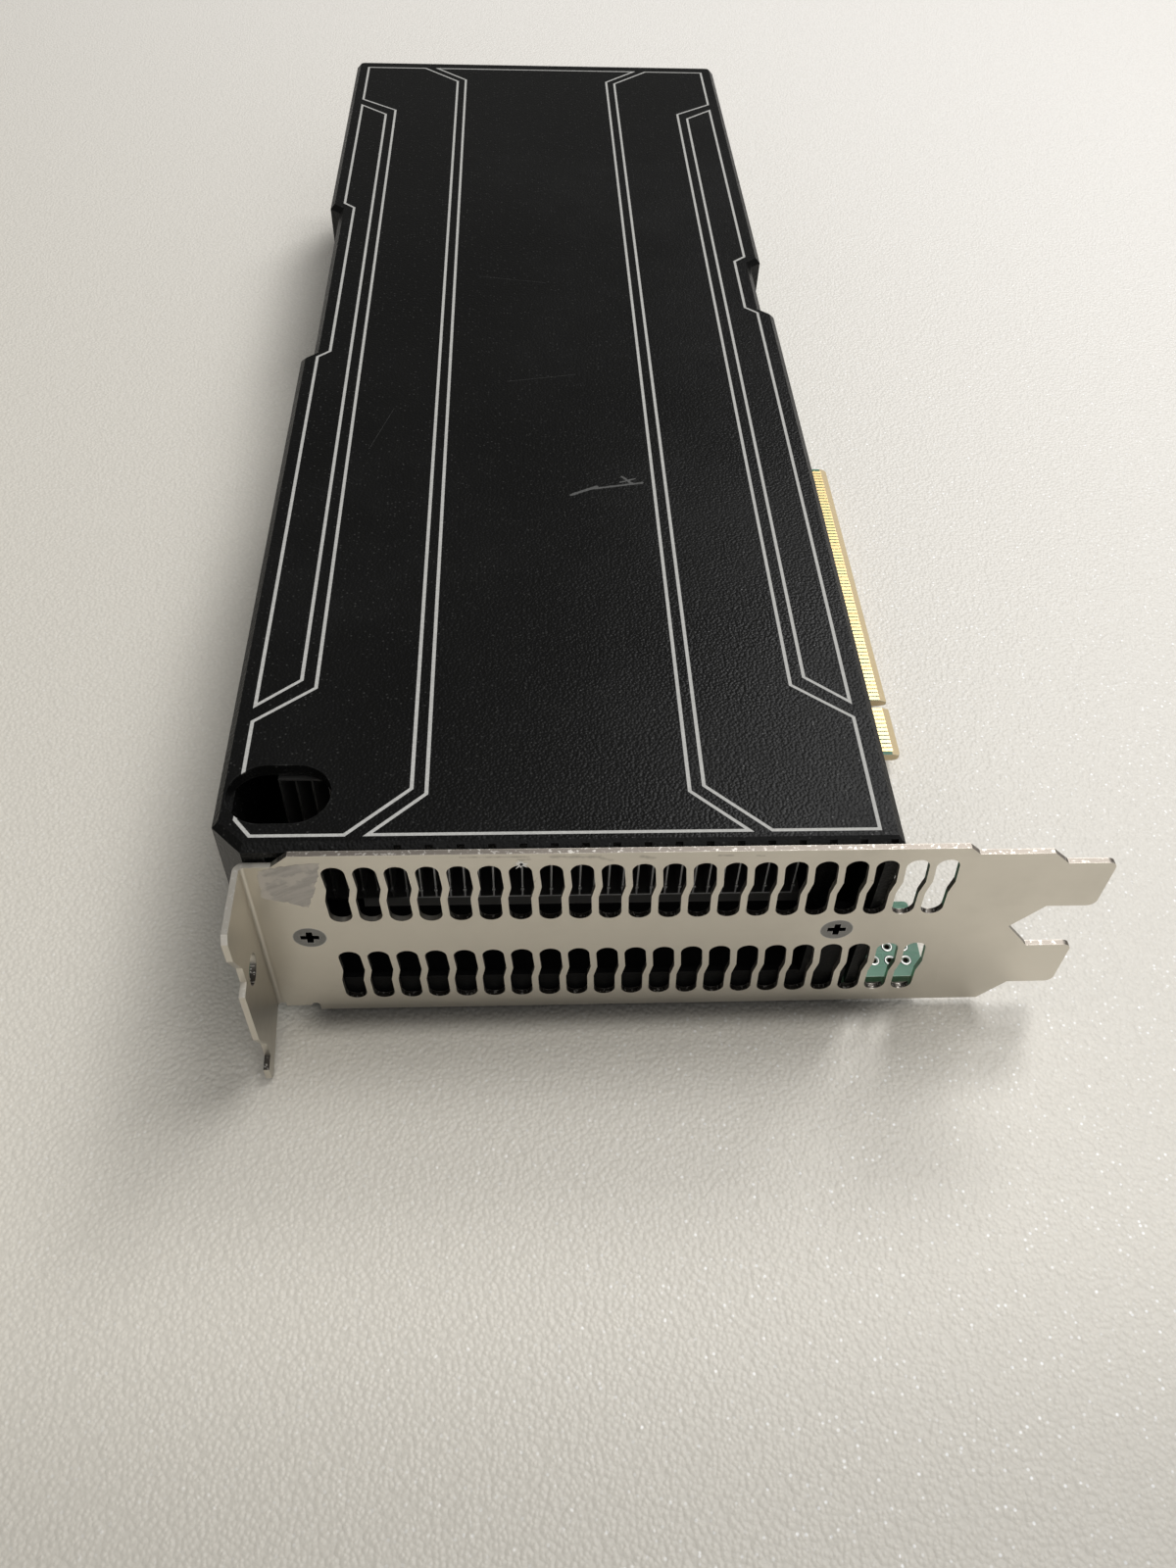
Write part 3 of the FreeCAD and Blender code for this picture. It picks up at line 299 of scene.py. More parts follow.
def hairline_group():
    """Fine random scratches: thin lines of stretched noise, here and there."""
    w, start, end = shader_group("Hairlines", [
        ("Size", "Float", 0.01), ("Turn", "Float", 0.4), ("Cover", "Float", 0.5)], ["Mask"])
    at = w.sized(start)
    turned = w.node("ShaderNodeVectorRotate", {"Vector": at, "Angle": start["Turn"]},
                    rotation_type="Z_AXIS")
    thin = w.vector("MULTIPLY", turned, (0.35, 9.0, 0.35))
    line = w.noise(thin, 1.0, 2.0, 0.4)
    near = w.math("ABSOLUTE", w.math("SUBTRACT", line, 0.5))
    mask = w.fall(near, 0.0, 0.012)
    patch = w.noise(at, 0.45, 2.0)
    limit = w.math("SUBTRACT", 0.78, w.product(start["Cover"], 0.4))
    shown = w.ramp(patch, limit, w.math("ADD", limit, 0.06))
    w.feed(end.inputs["Mask"], w.product(mask, shown))


def scuff_group():
    """One straight scuff from a start to an end, ragged along its length."""
    w, start, end = shader_group("Scuff", [
        ("Start", "Vector", (0, 0, 0)), ("End", "Vector", (0.01, 0, 0)),
        ("Width", "Float", 0.0002), ("Soft", "Float", 0.5)], ["Mask"])
    along = w.vector("SUBTRACT", start["End"], start["Start"])
    offset = w.vector("SUBTRACT", start["Vector"], start["Start"])
    run = w.math("DIVIDE", w.vector("DOT_PRODUCT", offset, along),
                 w.vector("DOT_PRODUCT", along, along), clamp=True)
    nearest = w.vector("SUBTRACT", offset, w.scaled(along, run))
    gap = w.math("DIVIDE", w.vector("LENGTH", nearest), start["Width"])
    ragged = w.noise(start["Vector"], 900.0, 3.0, 0.7)
    limit = w.product(ragged, 2.0)
    w.feed(end.inputs["Mask"], w.ramp(w.math("SUBTRACT", limit, gap), 0.0, start["Soft"]))


def edge_wear_and_highlight_group():
    """Worn edges, also used for painted edge highlights: where a rounded normal leaves the true
    one.
    """
    w, start, end = shader_group(
        "Edge Rub", [("Radius", "Float", 0.0004), ("Break", "Float", 0.5)], ["Mask"])
    rounded = w.node("ShaderNodeBevel", {"Radius": start["Radius"]}, samples=6).outputs["Normal"]
    true = w.node("ShaderNodeNewGeometry").outputs["True Normal"]
    turn = w.math("SUBTRACT", 1.0, w.vector("DOT_PRODUCT", rounded, true))
    edge = w.ramp(turn, 0.02, 0.16)
    worn = w.noise(start["Vector"], 420.0, 4.0, 0.65)
    kept = w.ramp(worn, w.product(start["Break"], 0.8), 0.75)
    w.feed(end.inputs["Mask"], w.product(edge, kept))


def rolled_group():
    """Rolled sheet: streaks along one direction with a slow drift in tone."""
    w, start, end = shader_group(
        "Rolled Sheet", [("Stretch", "Vector", (1, 1, 1))], ["Streak", "Drift"])
    at = w.vector("MULTIPLY", start["Vector"], start["Stretch"])
    w.feed(end.inputs["Streak"], w.noise(at, 1.0, 4.0, 0.65))
    w.feed(end.inputs["Drift"], w.noise(start["Vector"], 24.0, 2.0, 0.5))


GROUPS = (grain_group, smudge_group, hairline_group, scuff_group, edge_wear_and_highlight_group, rolled_group)


# --- materials --------------------------------------------------------------------------


def new_material(name, metallic=0.0, specular=0.5, coat=0.0):
    """Material with a Principled shader; returns it, its wiring and the shader."""
    material = bpy.data.materials.new(name)
    material.use_nodes = True
    w = Wiring(material.node_tree)
    shader = material.node_tree.nodes["Principled BSDF"]
    shader.inputs["Metallic"].default_value = metallic
    shader.inputs["Specular IOR Level"].default_value = specular
    shader.inputs["Coat Weight"].default_value = coat
    return material, w, shader


def paint(w, shader, tone, roughness):
    """Feed a shader's colour and roughness."""
    w.feed(shader.inputs["Base Color"], tone)
    w.feed(shader.inputs["Roughness"], roughness)


def bump(w, shader, height, distance, strength=1.0):
    """Bump from a height, of a real distance."""
    node = w.node("ShaderNodeBump", {"Height": height, "Distance": distance, "Strength": strength})
    w.feed(shader.inputs["Normal"], node.outputs["Normal"])


def opaque(value):
    """Colour with full alpha."""
    return (*value, 1.0)


def shade(value, factor):
    """Colour made darker or lighter."""
    return tuple(min(1.0, part * factor) for part in value)


def scuffs(w, at, marks, soft=0.5):
    """Largest mask of several scuffs, each a start, an end and a width in millimetres."""
    total = 0.0
    for start, end, width in marks:
        mask = mask_of(w, "Scuff", at, Start=place(*start), End=place(*end),
                       Width=width * MM, Soft=soft)
        total = w.math("MAXIMUM", total, mask)
    return total


COVER_SCUFFS = [
    ((47.0, 76.4, 40.3), (51.5, 78.8, 40.3), 0.35),
    ((50.0, 78.0, 40.3), (59.4, 79.9, 40.3), 0.28),
    ((56.0, 81.6, 40.3), (57.6, 79.6, 40.3), 0.30),
    ((55.6, 80.0, 40.3), (58.2, 81.0, 40.3), 0.24),
    ((30.0, 150.0, 40.3), (44.0, 147.5, 40.3), 0.02),
    ((36.0, 111.0, 40.3), (49.0, 113.5, 40.3), 0.025),
    ((12.0, 90.0, 40.3), (15.5, 102.0, 40.3), 0.02),
]


def cover_material(cover):
    """Moulded black plastic: pebbled grain with painted glints, handling marks, light scuffs, and
    lighter worn edges with a painted highlight.
    """
    material, w, shader = new_material("moulded black plastic", specular=0.11)
    at = w.place()
    grain = use_group(w, "Moulded Grain", {"Vector": at, "Size": cover.grain})
    marks = mask_of(w, "Handling Marks", at, Size=0.045)
    lines = mask_of(w, "Hairlines", at, Size=0.012, Turn=0.5, Cover=0.35)
    scuff = scuffs(w, at, COVER_SCUFFS)
    edge_wear_and_highlight = mask_of(w, "Edge Rub", at, Radius=0.0006, Break=0.55)
    base = w.blend(w.product(marks, 0.5), opaque(cover.black),
                   opaque(shade(cover.black, 1.7)))
    # Painted glints: light specks where the grain's glint spots are.
    base = w.blend(w.product(grain["Glint"], 0.75), base, (0.05, 0.05, 0.048, 1))
    base = w.blend(w.product(lines, 0.2), base, (0.05, 0.05, 0.05, 1))
    base = w.blend(w.product(scuff, 0.55), base, (0.16, 0.16, 0.155, 1))
    # Edges made lighter: wear, with a painted highlight.
    base = w.blend(w.product(edge_wear_and_highlight, 0.5), base, (0.045, 0.045, 0.043, 1))
    rough = w.math("ADD", cover.roughness, w.product(marks, 0.14))
    rough = w.math("SUBTRACT", rough, w.product(grain["Glint"], 0.16))
    paint(w, shader, base, w.math("ADD", rough, w.product(scuff, 0.2)))
    height = w.math("SUBTRACT", grain["Height"], w.product(lines, 0.4))
    bump(w, shader, height, cover.grain_depth)
    return material


def stripe_material(cover):
    """Matt silver paint that lets a little of the grain through."""
    material, w, shader = new_material("silver stripe paint", specular=0.3)
    at = w.place()
    speck = w.noise(at, 2600.0, 2.0, 0.6)
    worn = mask_of(w, "Handling Marks", at, Size=0.02)
    tone = w.blend(w.ramp(speck, 0.35, 0.7), opaque(shade(cover.stripe, 0.82)),
                   opaque(cover.stripe))
    tone = w.blend(w.product(worn, 0.22), tone, opaque(shade(cover.stripe, 0.6)))
    paint(w, shader, tone, w.ramp(speck, 0.3, 0.7, 0.5, 0.68))
    bump(w, shader, speck, 0.00001)
    return material


BRACKET_SCUFFS = [
    ((37.5, 0, 38.0), (38.6, 0, 37.5), 0.24),
    ((38.1, 0, 38.2), (38.3, 0, 37.3), 0.20),
    ((37.2, 0, 37.2), (37.9, 0, 37.7), 0.12),
]
BRACKET_SMEARS = [
    ((30.0, 0, 39.4), (39.0, 0, 39.3), 0.30),
    ((37.7, 0, 38.6), (39.1, 0, 38.7), 0.45),
    ((42.0, 0, 39.3), (48.4, 0, 39.1), 0.55),
    ((48.6, 0, 38.9), (50.2, 0, 38.3), 0.50),
    ((54.1, 0, 39.1), (55.9, 0, 38.8), 0.50),
    ((64.5, 0, 39.1), (66.4, 0, 39.1), 0.35),
    ((69.6, 0, 39.0), (70.6, 0, 38.9), 0.35),
    ((40.2, 0, 34.6), (39.6, 0, 32.9), 0.14),
    ((52.3, 0, 33.6), (52.0, 0, 32.6), 0.12),
    ((86.2, 0, 33.0), (86.9, 0, 32.6), 0.10),
]


def cut_faces(w, at):
    """Masks of the bracket's level and upright sheared faces, and of its flat sheet."""
    faces, where = w.facing(), w.parts(at)
    sheet = w.ramp(where[0], x_at(2.2), x_at(3.0))
    flange = w.fall(where[1], y_at(-2.4), y_at(-1.6))
    across = w.product(w.ramp(faces[0], 0.4, 0.7), sheet)
    along = w.product(w.ramp(faces[1], 0.4, 0.7), flange)
    return w.ramp(faces[2], 0.4, 0.7), w.math("MAXIMUM", across, along), sheet


def bracket_material(metal):
    """Plated steel sheet: rolling streaks, scuffs, smears, dull cut faces partly darkened as
    painted shade, painted glints on their burrs, painted light and shade on rims and flange, and
    painted edge highlights.
    """
    material, w, shader = new_material("plated steel sheet", metallic=1.0)
    at = w.place()
    rolled = use_group(w, "Rolled Sheet", {"Vector": at, "Stretch": (60.0, 60.0, 2600.0)})
    marks = mask_of(w, "Handling Marks", at, Size=0.016)
    lines = mask_of(w, "Hairlines", w.vector("MULTIPLY", at, (1, 0, 1)),
                    Size=0.006, Turn=0.9, Cover=0.4)
    scuff = scuffs(w, at, BRACKET_SCUFFS)
    smear = scuffs(w, at, BRACKET_SMEARS, 1.6)
    edge_wear_and_highlight = mask_of(w, "Edge Rub", at, Radius=0.00018, Break=0.25)
    level, upright, sheet = cut_faces(w, at)
    where = w.parts(at)
    # Rims of the openings, the few of them that the light reaches, and the flange's inner face.
    inner = w.product(w.fall(where[2], 38.4 * MM, 38.9 * MM), w.fall(where[0], x_at(98), x_at(99)))
    lit = w.product(w.fall(where[0], x_at(24), x_at(30)), w.ramp(where[2], 20 * MM, 22 * MM),
                    w.blend(sheet, (0.8, 0.8, 0.8, 1), inner))
    shaded = w.product(w.fall(where[0], x_at(1.0), x_at(2.0)),
                       w.ramp(where[2], 10 * MM, 34 * MM, 1.0, 0.25))
    # Specks along the cut faces, for painted glints on the burrs.
    burr_glints = w.ramp(w.noise(w.vector("MULTIPLY", at, (1500, 1500, 6000)), 1.0, 2.0, 0.6), 0.56, 0.66)
    tone = w.blend(rolled["Drift"], opaque(metal.bracket), opaque(shade(metal.bracket, 0.94)))
    tone = w.blend(w.product(marks, 0.22), tone, opaque(shade(metal.bracket, 0.78)))
    tone = w.blend(w.product(lines, 0.12), tone, (0.82, 0.80, 0.76, 1))
    tone = w.blend(w.product(smear, 0.6), tone, (0.20, 0.18, 0.16, 1))
    # Painted shade: the cut faces inside the openings at a third of the cut-face tone.
    sheared = w.blend(inner, opaque(metal.edge), opaque(shade(metal.edge, 0.3)))
    sheared = w.blend(w.product(lit, 0.85), sheared, opaque(shade(metal.bracket, 1.15)))
    # Painted glints: bright specks on the burrs.
    sheared = w.blend(w.product(burr_glints, 0.7), sheared, (0.68, 0.65, 0.60, 1))
    tone = w.blend(w.product(shaded, 0.6), tone, opaque(shade(metal.bracket, 0.45)))
    # Cut faces by the way they face: upright ones a little darker than the sheet, level ones take
    # the dark sheared tone, which is partly painted shade.
    tone = w.blend(upright, tone, opaque(shade(metal.bracket, 0.9)))
    tone = w.blend(level, tone, sheared)
    # Painted highlight, with wear: the sheet's edges made lighter.
    tone = w.blend(w.product(edge_wear_and_highlight, sheet, 0.7), tone, opaque(shade(metal.bracket, 1.3)))
    tone = w.blend(w.product(scuff, 0.85), tone, (0.90, 0.90, 0.88, 1))
    rough = w.math("ADD", 0.27, w.product(rolled["Streak"], 0.12))
    rough = w.math("ADD", rough, w.product(w.math("MAXIMUM", marks, level), 0.12))
    paint(w, shader, tone, w.math("ADD", rough, w.product(scuff, 0.3)))
    bump(w, shader, rolled["Streak"], 0.000004)
    return material


def screw_material(metal):
    """Zinc screw heads: painted shade, black, inside their cross recess, and a painted highlight
    on their rims.
    """
    material, w, shader = new_material("plated screws", metallic=1.0)
    at = w.place()
    turned = w.noise(w.vector("MULTIPLY", at, (2500, 600, 2500)), 1.0, 3.0, 0.6)
    marks = mask_of(w, "Handling Marks", at, Size=0.003)
    edge_wear_and_highlight = mask_of(w, "Edge Rub", at, Radius=0.0002, Break=0.05)
    # Painted shade: black where the cross recess goes deeper than about a tenth of a millimetre.
    recess_shade = w.ramp(w.parts(at)[1], y_at(0.06), y_at(0.2))
    tone = w.blend(w.product(marks, 0.5), opaque(metal.screw), opaque(shade(metal.screw, 0.6)))
    # Painted highlight, with wear: the rims made lighter.
    tone = w.blend(w.product(edge_wear_and_highlight, 0.8), tone, opaque(shade(metal.screw, 2.8)))
    tone = w.blend(recess_shade, tone, (0.012, 0.012, 0.012, 1))
    paint(w, shader, tone, w.ramp(turned, 0.3, 0.7, 0.34, 0.5))
    bump(w, shader, turned, 0.000006)
    return material


def machined_material(name, base, roughness, stretch=(400.0, 400.0, 400.0), metallic=1.0):
    """Plain metal with streaks, tarnish, and edges made brighter: wear, with a painted highlight.
    """
    material, w, shader = new_material(name, metallic=metallic)
    at = w.place()
    rolled = use_group(w, "Rolled Sheet", {"Vector": at, "Stretch": stretch})
    marks = mask_of(w, "Handling Marks", at, Size=0.012)
    edge_wear_and_highlight = mask_of(w, "Edge Rub", at, Radius=0.0002, Break=0.3)
    tone = w.blend(rolled["Drift"], opaque(base), opaque(shade(base, 0.8)))
    tone = w.blend(w.product(marks, 0.35), tone, opaque(shade(base, 0.6)))
    # Painted highlight, with wear: the edges made brighter.
    tone = w.blend(w.product(edge_wear_and_highlight, 0.6), tone, opaque(shade(base, 2.0)))
    paint(w, shader, tone, w.math("ADD", roughness, w.product(rolled["Streak"], 0.16)))
    bump(w, shader, rolled["Streak"], 0.000006)
    return material


def fin_material(metal):
    """Bare fin sheet: bright cut ends, with painted shade on the faces, the first ends and the top
    sheet.
    """
    material, w, shader = new_material("bare fin sheet")
    at = w.place()
    where = w.parts(at)
    rolled = use_group(w, "Rolled Sheet", {"Vector": at, "Stretch": (30.0, 30.0, 900.0)})
    marks = mask_of(w, "Handling Marks", at, Size=0.012)
    # Painted light: cut ends facing along Y keep the bare tone, except near the left wall and at
    # the top sheet; faces and those ends get a third of it as painted shade.
    end = w.product(w.ramp(w.facing()[1], 0.4, 0.7), w.ramp(where[0], x_at(17), x_at(24)),
                    w.fall(where[2], 37.2 * MM, 37.5 * MM))
    tone = w.blend(end, opaque(shade(metal.fins, 0.35)), opaque(metal.fins))
    tone = w.blend(w.product(marks, 0.3), tone, opaque(shade(metal.fins, 0.5)))
    paint(w, shader, tone, w.math("ADD", 0.3, w.product(rolled["Streak"], 0.2)))
    w.feed(shader.inputs["Metallic"], w.math("SUBTRACT", 1.0, w.product(end, 0.6)))
    bump(w, shader, rolled["Streak"], 0.000006)
    return material


def board_material(board):
    """Green solder mask over faint copper, painted shade on the hole walls, and a bare contact
    tongue.
    """
    material, w, shader = new_material("solder mask", specular=0.35)
    at = w.place()
    flat = w.vector("MULTIPLY", at, (1, 1, 0))
    blocks = w.node("ShaderNodeTexBrick", {
        "Vector": flat, "Scale": 95.0, "Mortar Size": 0.012, "Mortar Smooth": 0.2,
        "Brick Width": 0.9, "Row Height": 0.22}, offset=0.37, squash=0.7).outputs["Fac"]
    routes = w.node("ShaderNodeTexVoronoi", {"Vector": flat, "Scale": 420.0},
                    feature="DISTANCE_TO_EDGE", distance="EUCLIDEAN").outputs["Distance"]
    lanes = w.ramp(w.noise(flat, 60.0, 1.0), 0.48, 0.52)
    copper = w.product(w.ramp(routes, 0.05, 0.09), lanes)
    copper = w.math("MAXIMUM", copper, blocks)
    tone = w.blend(copper, opaque(board.mask), opaque(board.trace))
    marks = mask_of(w, "Handling Marks", at, Size=0.02)
    tone = w.blend(w.product(marks, 0.25), tone, opaque(shade(board.mask, 0.75)))
    weave = w.noise(w.vector("MULTIPLY", at, (900, 900, 7000)), 1.0, 2.0, 0.5)
    where = w.parts(at)
    sides = w.fall(w.facing()[2], 0.5, 0.8)
    laminate = w.blend(w.ramp(weave, 0.35, 0.65), (0.045, 0.13, 0.07, 1), (0.09, 0.19, 0.11, 1))
    tone = w.blend(sides, tone, laminate)
    # Painted shade on the walls of the plated holes.
    hole_shade = w.product(sides, w.between(where[1], (y_at(3.2), y_at(3.6)), (y_at(8.6), y_at(9.0))),
                      w.between(where[0], (x_at(92.0), x_at(92.4)), (x_at(99.4), x_at(99.6))))
    tone = w.blend(hole_shade, tone, (0.045, 0.025, 0.018, 1))
    bare = w.product(sides, w.ramp(where[0], x_at(99.0), x_at(99.3)))
    bare = w.math("MAXIMUM", bare, w.ramp(where[0], x_at(104.8), x_at(105.0)))
    tone = w.blend(bare, tone, (0.58, 0.46, 0.27, 1))
    edge_wear_and_highlight = mask_of(w, "Edge Rub", at, Radius=0.00025, Break=0.1)
    # Edges made lighter: wear, with a painted highlight.
    tone = w.blend(w.product(edge_wear_and_highlight, 0.7), tone, (0.50, 0.58, 0.48, 1))
    paint(w, shader, tone, w.math("ADD", 0.36, w.product(marks, 0.15)))
    bump(w, shader, copper, 0.00003, 0.6)
    return material


def moulded_material(name, base, roughness, grain=0.0003, depth=0.00001, specular=0.5):
    """Moulded part with a fine grain and a little dust."""
    material, w, shader = new_material(name, specular=specular)
    at = w.place()
    texture = use_group(w, "Moulded Grain", {"Vector": at, "Size": grain})
    marks = mask_of(w, "Handling Marks", at, Size=0.01)
    tone = w.blend(w.product(marks, 0.5), opaque(base),
                   opaque(tuple(part * 1.25 + 0.004 for part in base)))
    paint(w, shader, tone, w.math("ADD", roughness, w.product(marks, 0.12)))
    bump(w, shader, texture["Height"], depth)
    return material


def adhesive_material():
    """Thin grey film of old adhesive, smeared in one direction and part worn away."""
    material, w, shader = new_material("old adhesive film", specular=0.5)
    turned = w.node("ShaderNodeVectorRotate", {"Vector": w.place(), "Angle": 0.5},
                    rotation_type="Y_AXIS")
    strokes = w.noise(w.vector("MULTIPLY", turned, (220, 220, 1500)), 1.0, 4.0, 0.65)
    patch = w.noise(turned, 300.0, 3.0, 0.6)
    tone = w.blend(w.ramp(strokes, 0.35, 0.65), (0.34, 0.315, 0.28, 1), (0.42, 0.385, 0.345, 1))
    tone = w.blend(w.ramp(patch, 0.5, 0.62), tone, (0.48, 0.44, 0.385, 1))
    paint(w, shader, tone, w.ramp(patch, 0.3, 0.7, 0.4, 0.6))
    bump(w, shader, strokes, 0.00003)
    return material


# --- pieces -----------------------------------------------------------------------------


def dress(names, material):
    """Give carried-over CAD nodes a material."""
    for name in names:
        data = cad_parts[name].data
        data.materials.clear()
        data.materials.append(material)


def ride(piece):
    """Fasten a finished piece to the card."""
    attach(piece, ROOT)


def mesh_object(name, vertices, faces=()):
    """Mesh object from points in the frame."""
    data = bpy.data.meshes.new(name)
    data.from_pydata([tuple(vertex) for vertex in vertices], [], [tuple(face) for face in faces])
    piece = bpy.data.objects.new(name, data)
    bpy.context.scene.collection.objects.link(piece)
    return piece


def solid_object(name, build):
    """Object from a bmesh that build() fills."""
    piece = mesh_object(name, [])
    mesh = bmesh.new()
    build(mesh)
    bmesh.ops.recalc_face_normals(mesh, faces=mesh.faces)
    mesh.to_mesh(piece.data)
    mesh.free()
    return piece


def slab(outline, front, back):
    """Builder of flat plates across Y, each from an outline of (x, z) places."""

    def build(mesh):
        """Front, back and sides."""
        near, far = ([mesh.verts.new(place(x, y, z)) for x, z in outline] for y in (front, back))
        mesh.faces.new(near)
        mesh.faces.new(far)
        for k in range(len(outline)):
            mesh.faces.new((near[k - 1], near[k], far[k], far[k - 1]))

    return build


def set_input(modifier, label, value):
    """Set a Geometry Nodes input by its name's socket identifier."""
    for item in modifier.node_group.interface.items_tree:
        if item.item_type == "SOCKET" and item.in_out == "INPUT" and item.name == label:
            modifier[item.identifier] = value
            return
    raise KeyError(label)


def settle(piece):
    """Turn a piece's evaluated shape into its plain mesh."""
    bpy.context.view_layer.update()
    evaluated = piece.evaluated_get(bpy.context.evaluated_depsgraph_get())
    data = bpy.data.meshes.new_from_object(evaluated)
    piece.modifiers.clear()
    piece.data = data
    if not data.polygons:
        raise RuntimeError(f"{piece.name} came out empty")


def geometry_tree(name, inputs):
    """Geometry Nodes tree with named inputs; returns its wiring and its two ends."""
    tree = bpy.data.node_groups.new(name, "GeometryNodeTree")
    tree.interface.new_socket("Geometry", in_out="INPUT", socket_type="NodeSocketGeometry")
    for label, kind, default in inputs:
        socket = tree.interface.new_socket(label, in_out="INPUT", socket_type=f"NodeSocket{kind}")
        if default is not None:
            socket.default_value = default
    tree.interface.new_socket("Geometry", in_out="OUTPUT", socket_type="NodeSocketGeometry")
    w = Wiring(tree)
    start = w.node("NodeGroupInput").outputs
    end = w.node("NodeGroupOutput")
    return w, start, end


def finish_tree(w, end, geometry, material):
    """Realize the instances and set their material."""
    real = w.node("GeometryNodeRealizeInstances", {0: geometry})
    dressed = w.node("GeometryNodeSetMaterial", {"Geometry": real, "Material": material})
    w.feed(end.inputs[0], dressed)


def copies_tree():
    """A model object on every point."""
    w, start, end = geometry_tree("Hardware On Points", [
        ("Model", "Object", None), ("Material", "Material", None)])
    model = w.node("GeometryNodeObjectInfo", {"Object": start["Model"]}).outputs["Geometry"]
    points = w.node("GeometryNodeInstanceOnPoints", {"Points": start[0], "Instance": model})
    finish_tree(w, end, points, start["Material"])


def rings_tree():
    """A flat ring on every point."""
    w, start, end = geometry_tree("Solder Rings", [
        ("Outer", "Float", 0.0017), ("Inner", "Float", 0.0009), ("Height", "Float", 0.0001),
        ("Sides", "Int", 24), ("Material", "Material", None)])
    mean = w.math("DIVIDE", w.math("ADD", start["Outer"], start["Inner"]), 4.0)
    width = w.math("DIVIDE", w.math("SUBTRACT", start["Outer"], start["Inner"]), 2.0)
    path = w.node("GeometryNodeCurvePrimitiveCircle",
                  {"Resolution": start["Sides"], "Radius": mean})
    section = w.node("GeometryNodeCurvePrimitiveQuadrilateral",
                     {"Width": width, "Height": start["Height"]})
    ring = w.node("GeometryNodeCurveToMesh", {"Curve": path, "Profile Curve": section})
    points = w.node("GeometryNodeInstanceOnPoints", {"Points": start[0], "Instance": ring})
    finish_tree(w, end, points, start["Material"])


def tabs_tree():
    """A row of small linking tabs, one for each fin."""
    w, start, end = geometry_tree("Fin Tabs", [
        ("Count", "Int", 10), ("First", "Vector", (0, 0, 0)), ("Spacing", "Vector", (0.002, 0, 0)),
        ("Size", "Vector", (0.001, 0.001, 0.001)), ("Material", "Material", None)])
    line = w.node("GeometryNodeMeshLine", {
        "Count": start["Count"], "Start Location": start["First"], "Offset": start["Spacing"],
    }, mode="OFFSET")
    tab = w.node("GeometryNodeMeshCube", {"Size": start["Size"]}).outputs["Mesh"]
    points = w.node("GeometryNodeInstanceOnPoints", {"Points": line, "Instance": tab})
    joined = w.node("GeometryNodeJoinGeometry")
    w.feed(joined.inputs[0], start[0])
    w.feed(joined.inputs[0], points.outputs[0])
    finish_tree(w, end, joined, start["Material"])


TREES = (copies_tree, rings_tree, tabs_tree)


def grown(name, points, tree, inputs):
    """Piece grown by a Geometry Nodes tree from points, as a plain mesh."""
    piece = mesh_object(name, points)
    modifier = piece.modifiers.new("Nodes", "NODES")
    modifier.node_group = bpy.data.node_groups[tree]
    for label, value in inputs.items():
        set_input(modifier, label, value)
    settle(piece)
    return piece


def lathe(profile, sides):
    """Builder of a closed solid of revolution about Z from (radius, height) pairs."""

    def build(mesh):
        """Rings of the profile, joined and capped."""
        rings = []
        for radius, height in profile:
            if radius == 0:
                rings.append([mesh.verts.new((0, 0, height))] * sides)
            else:
                rings.append([mesh.verts.new((radius * math.cos(2 * math.pi * k / sides),
                                              radius * math.sin(2 * math.pi * k / sides), height))
                              for k in range(sides)])
        for low, high in zip(rings, rings[1:]):
            for k in range(sides):
                corners = [low[k], low[(k + 1) % sides], high[(k + 1) % sides], high[k]]
                unique = list(dict.fromkeys(corners))
                if len(unique) > 2:
                    mesh.faces.new(unique)

    return build


def cut_cross(piece, span, width, depth):
    """Sink a cross recess into the underside of a screw head."""
    for size in ((span, width), (width, span)):
        tool = mesh_object("cross", [])
        mesh = bmesh.new()
        bmesh.ops.create_cube(mesh, size=1.0)
        bmesh.ops.scale(mesh, vec=(*size, depth * 2), verts=mesh.verts)
        lowest = min(vertex.co.z for vertex in piece.data.vertices)
        bmesh.ops.translate(mesh, vec=(0, 0, lowest), verts=mesh.verts)
        mesh.to_mesh(tool.data)
        mesh.free()
        cut = piece.modifiers.new("Cut", "BOOLEAN")
        cut.object = tool
        cut.operation = "DIFFERENCE"
        settle(piece)
        bpy.data.objects.remove(tool)


# --- operators --------------------------------------------------------------------------


class ACCEL_OT_cover(bpy.types.Operator):
    """Finish the moulded cover and its stripes"""

    bl_idname = "accel.cover"
    bl_label = "Cover"

    def execute(self, context):
        """Black grained plastic and silver paint."""
        settings = context.scene.accel_cover
        dress(["cover"], cover_material(settings))
        dress(["cover_stripes"], stripe_material(settings))
        return {"FINISHED"}


# Film of adhesive on the bracket's face, in millimetres.
FILM_OUTLINE = [
    (3.2, 36.9), (5.0, 37.5), (6.8, 37.9), (8.9, 38.3), (11.5, 38.5), (11.1, 36.9), (10.9, 35.2),
    (10.3, 33.8), (10.1, 32.1), (9.4, 30.5), (8.8, 28.4), (7.3, 29.0), (6.1, 29.7), (4.4, 30.1),
    (2.7, 30.9), (3.0, 33.0), (2.9, 34.8),
]
FILM_PARTS = 4
FILM_RAG = 0.14
FILM_FACES = (-0.03, -0.002)

# Torn flake at the top of one opening: its centre, then the angle and reach of each arm.
FLAKE_CENTRE = (38.1, 37.75)
FLAKE_ARMS = [(12, 0.95), (75, 0.7), (118, 1.0), (170, 0.8), (232, 1.3), (262, 0.9), (318, 1.1)]
FLAKE_HALF_WIDTH = 0.2
FLAKE_FACES = (-0.06, -0.01)


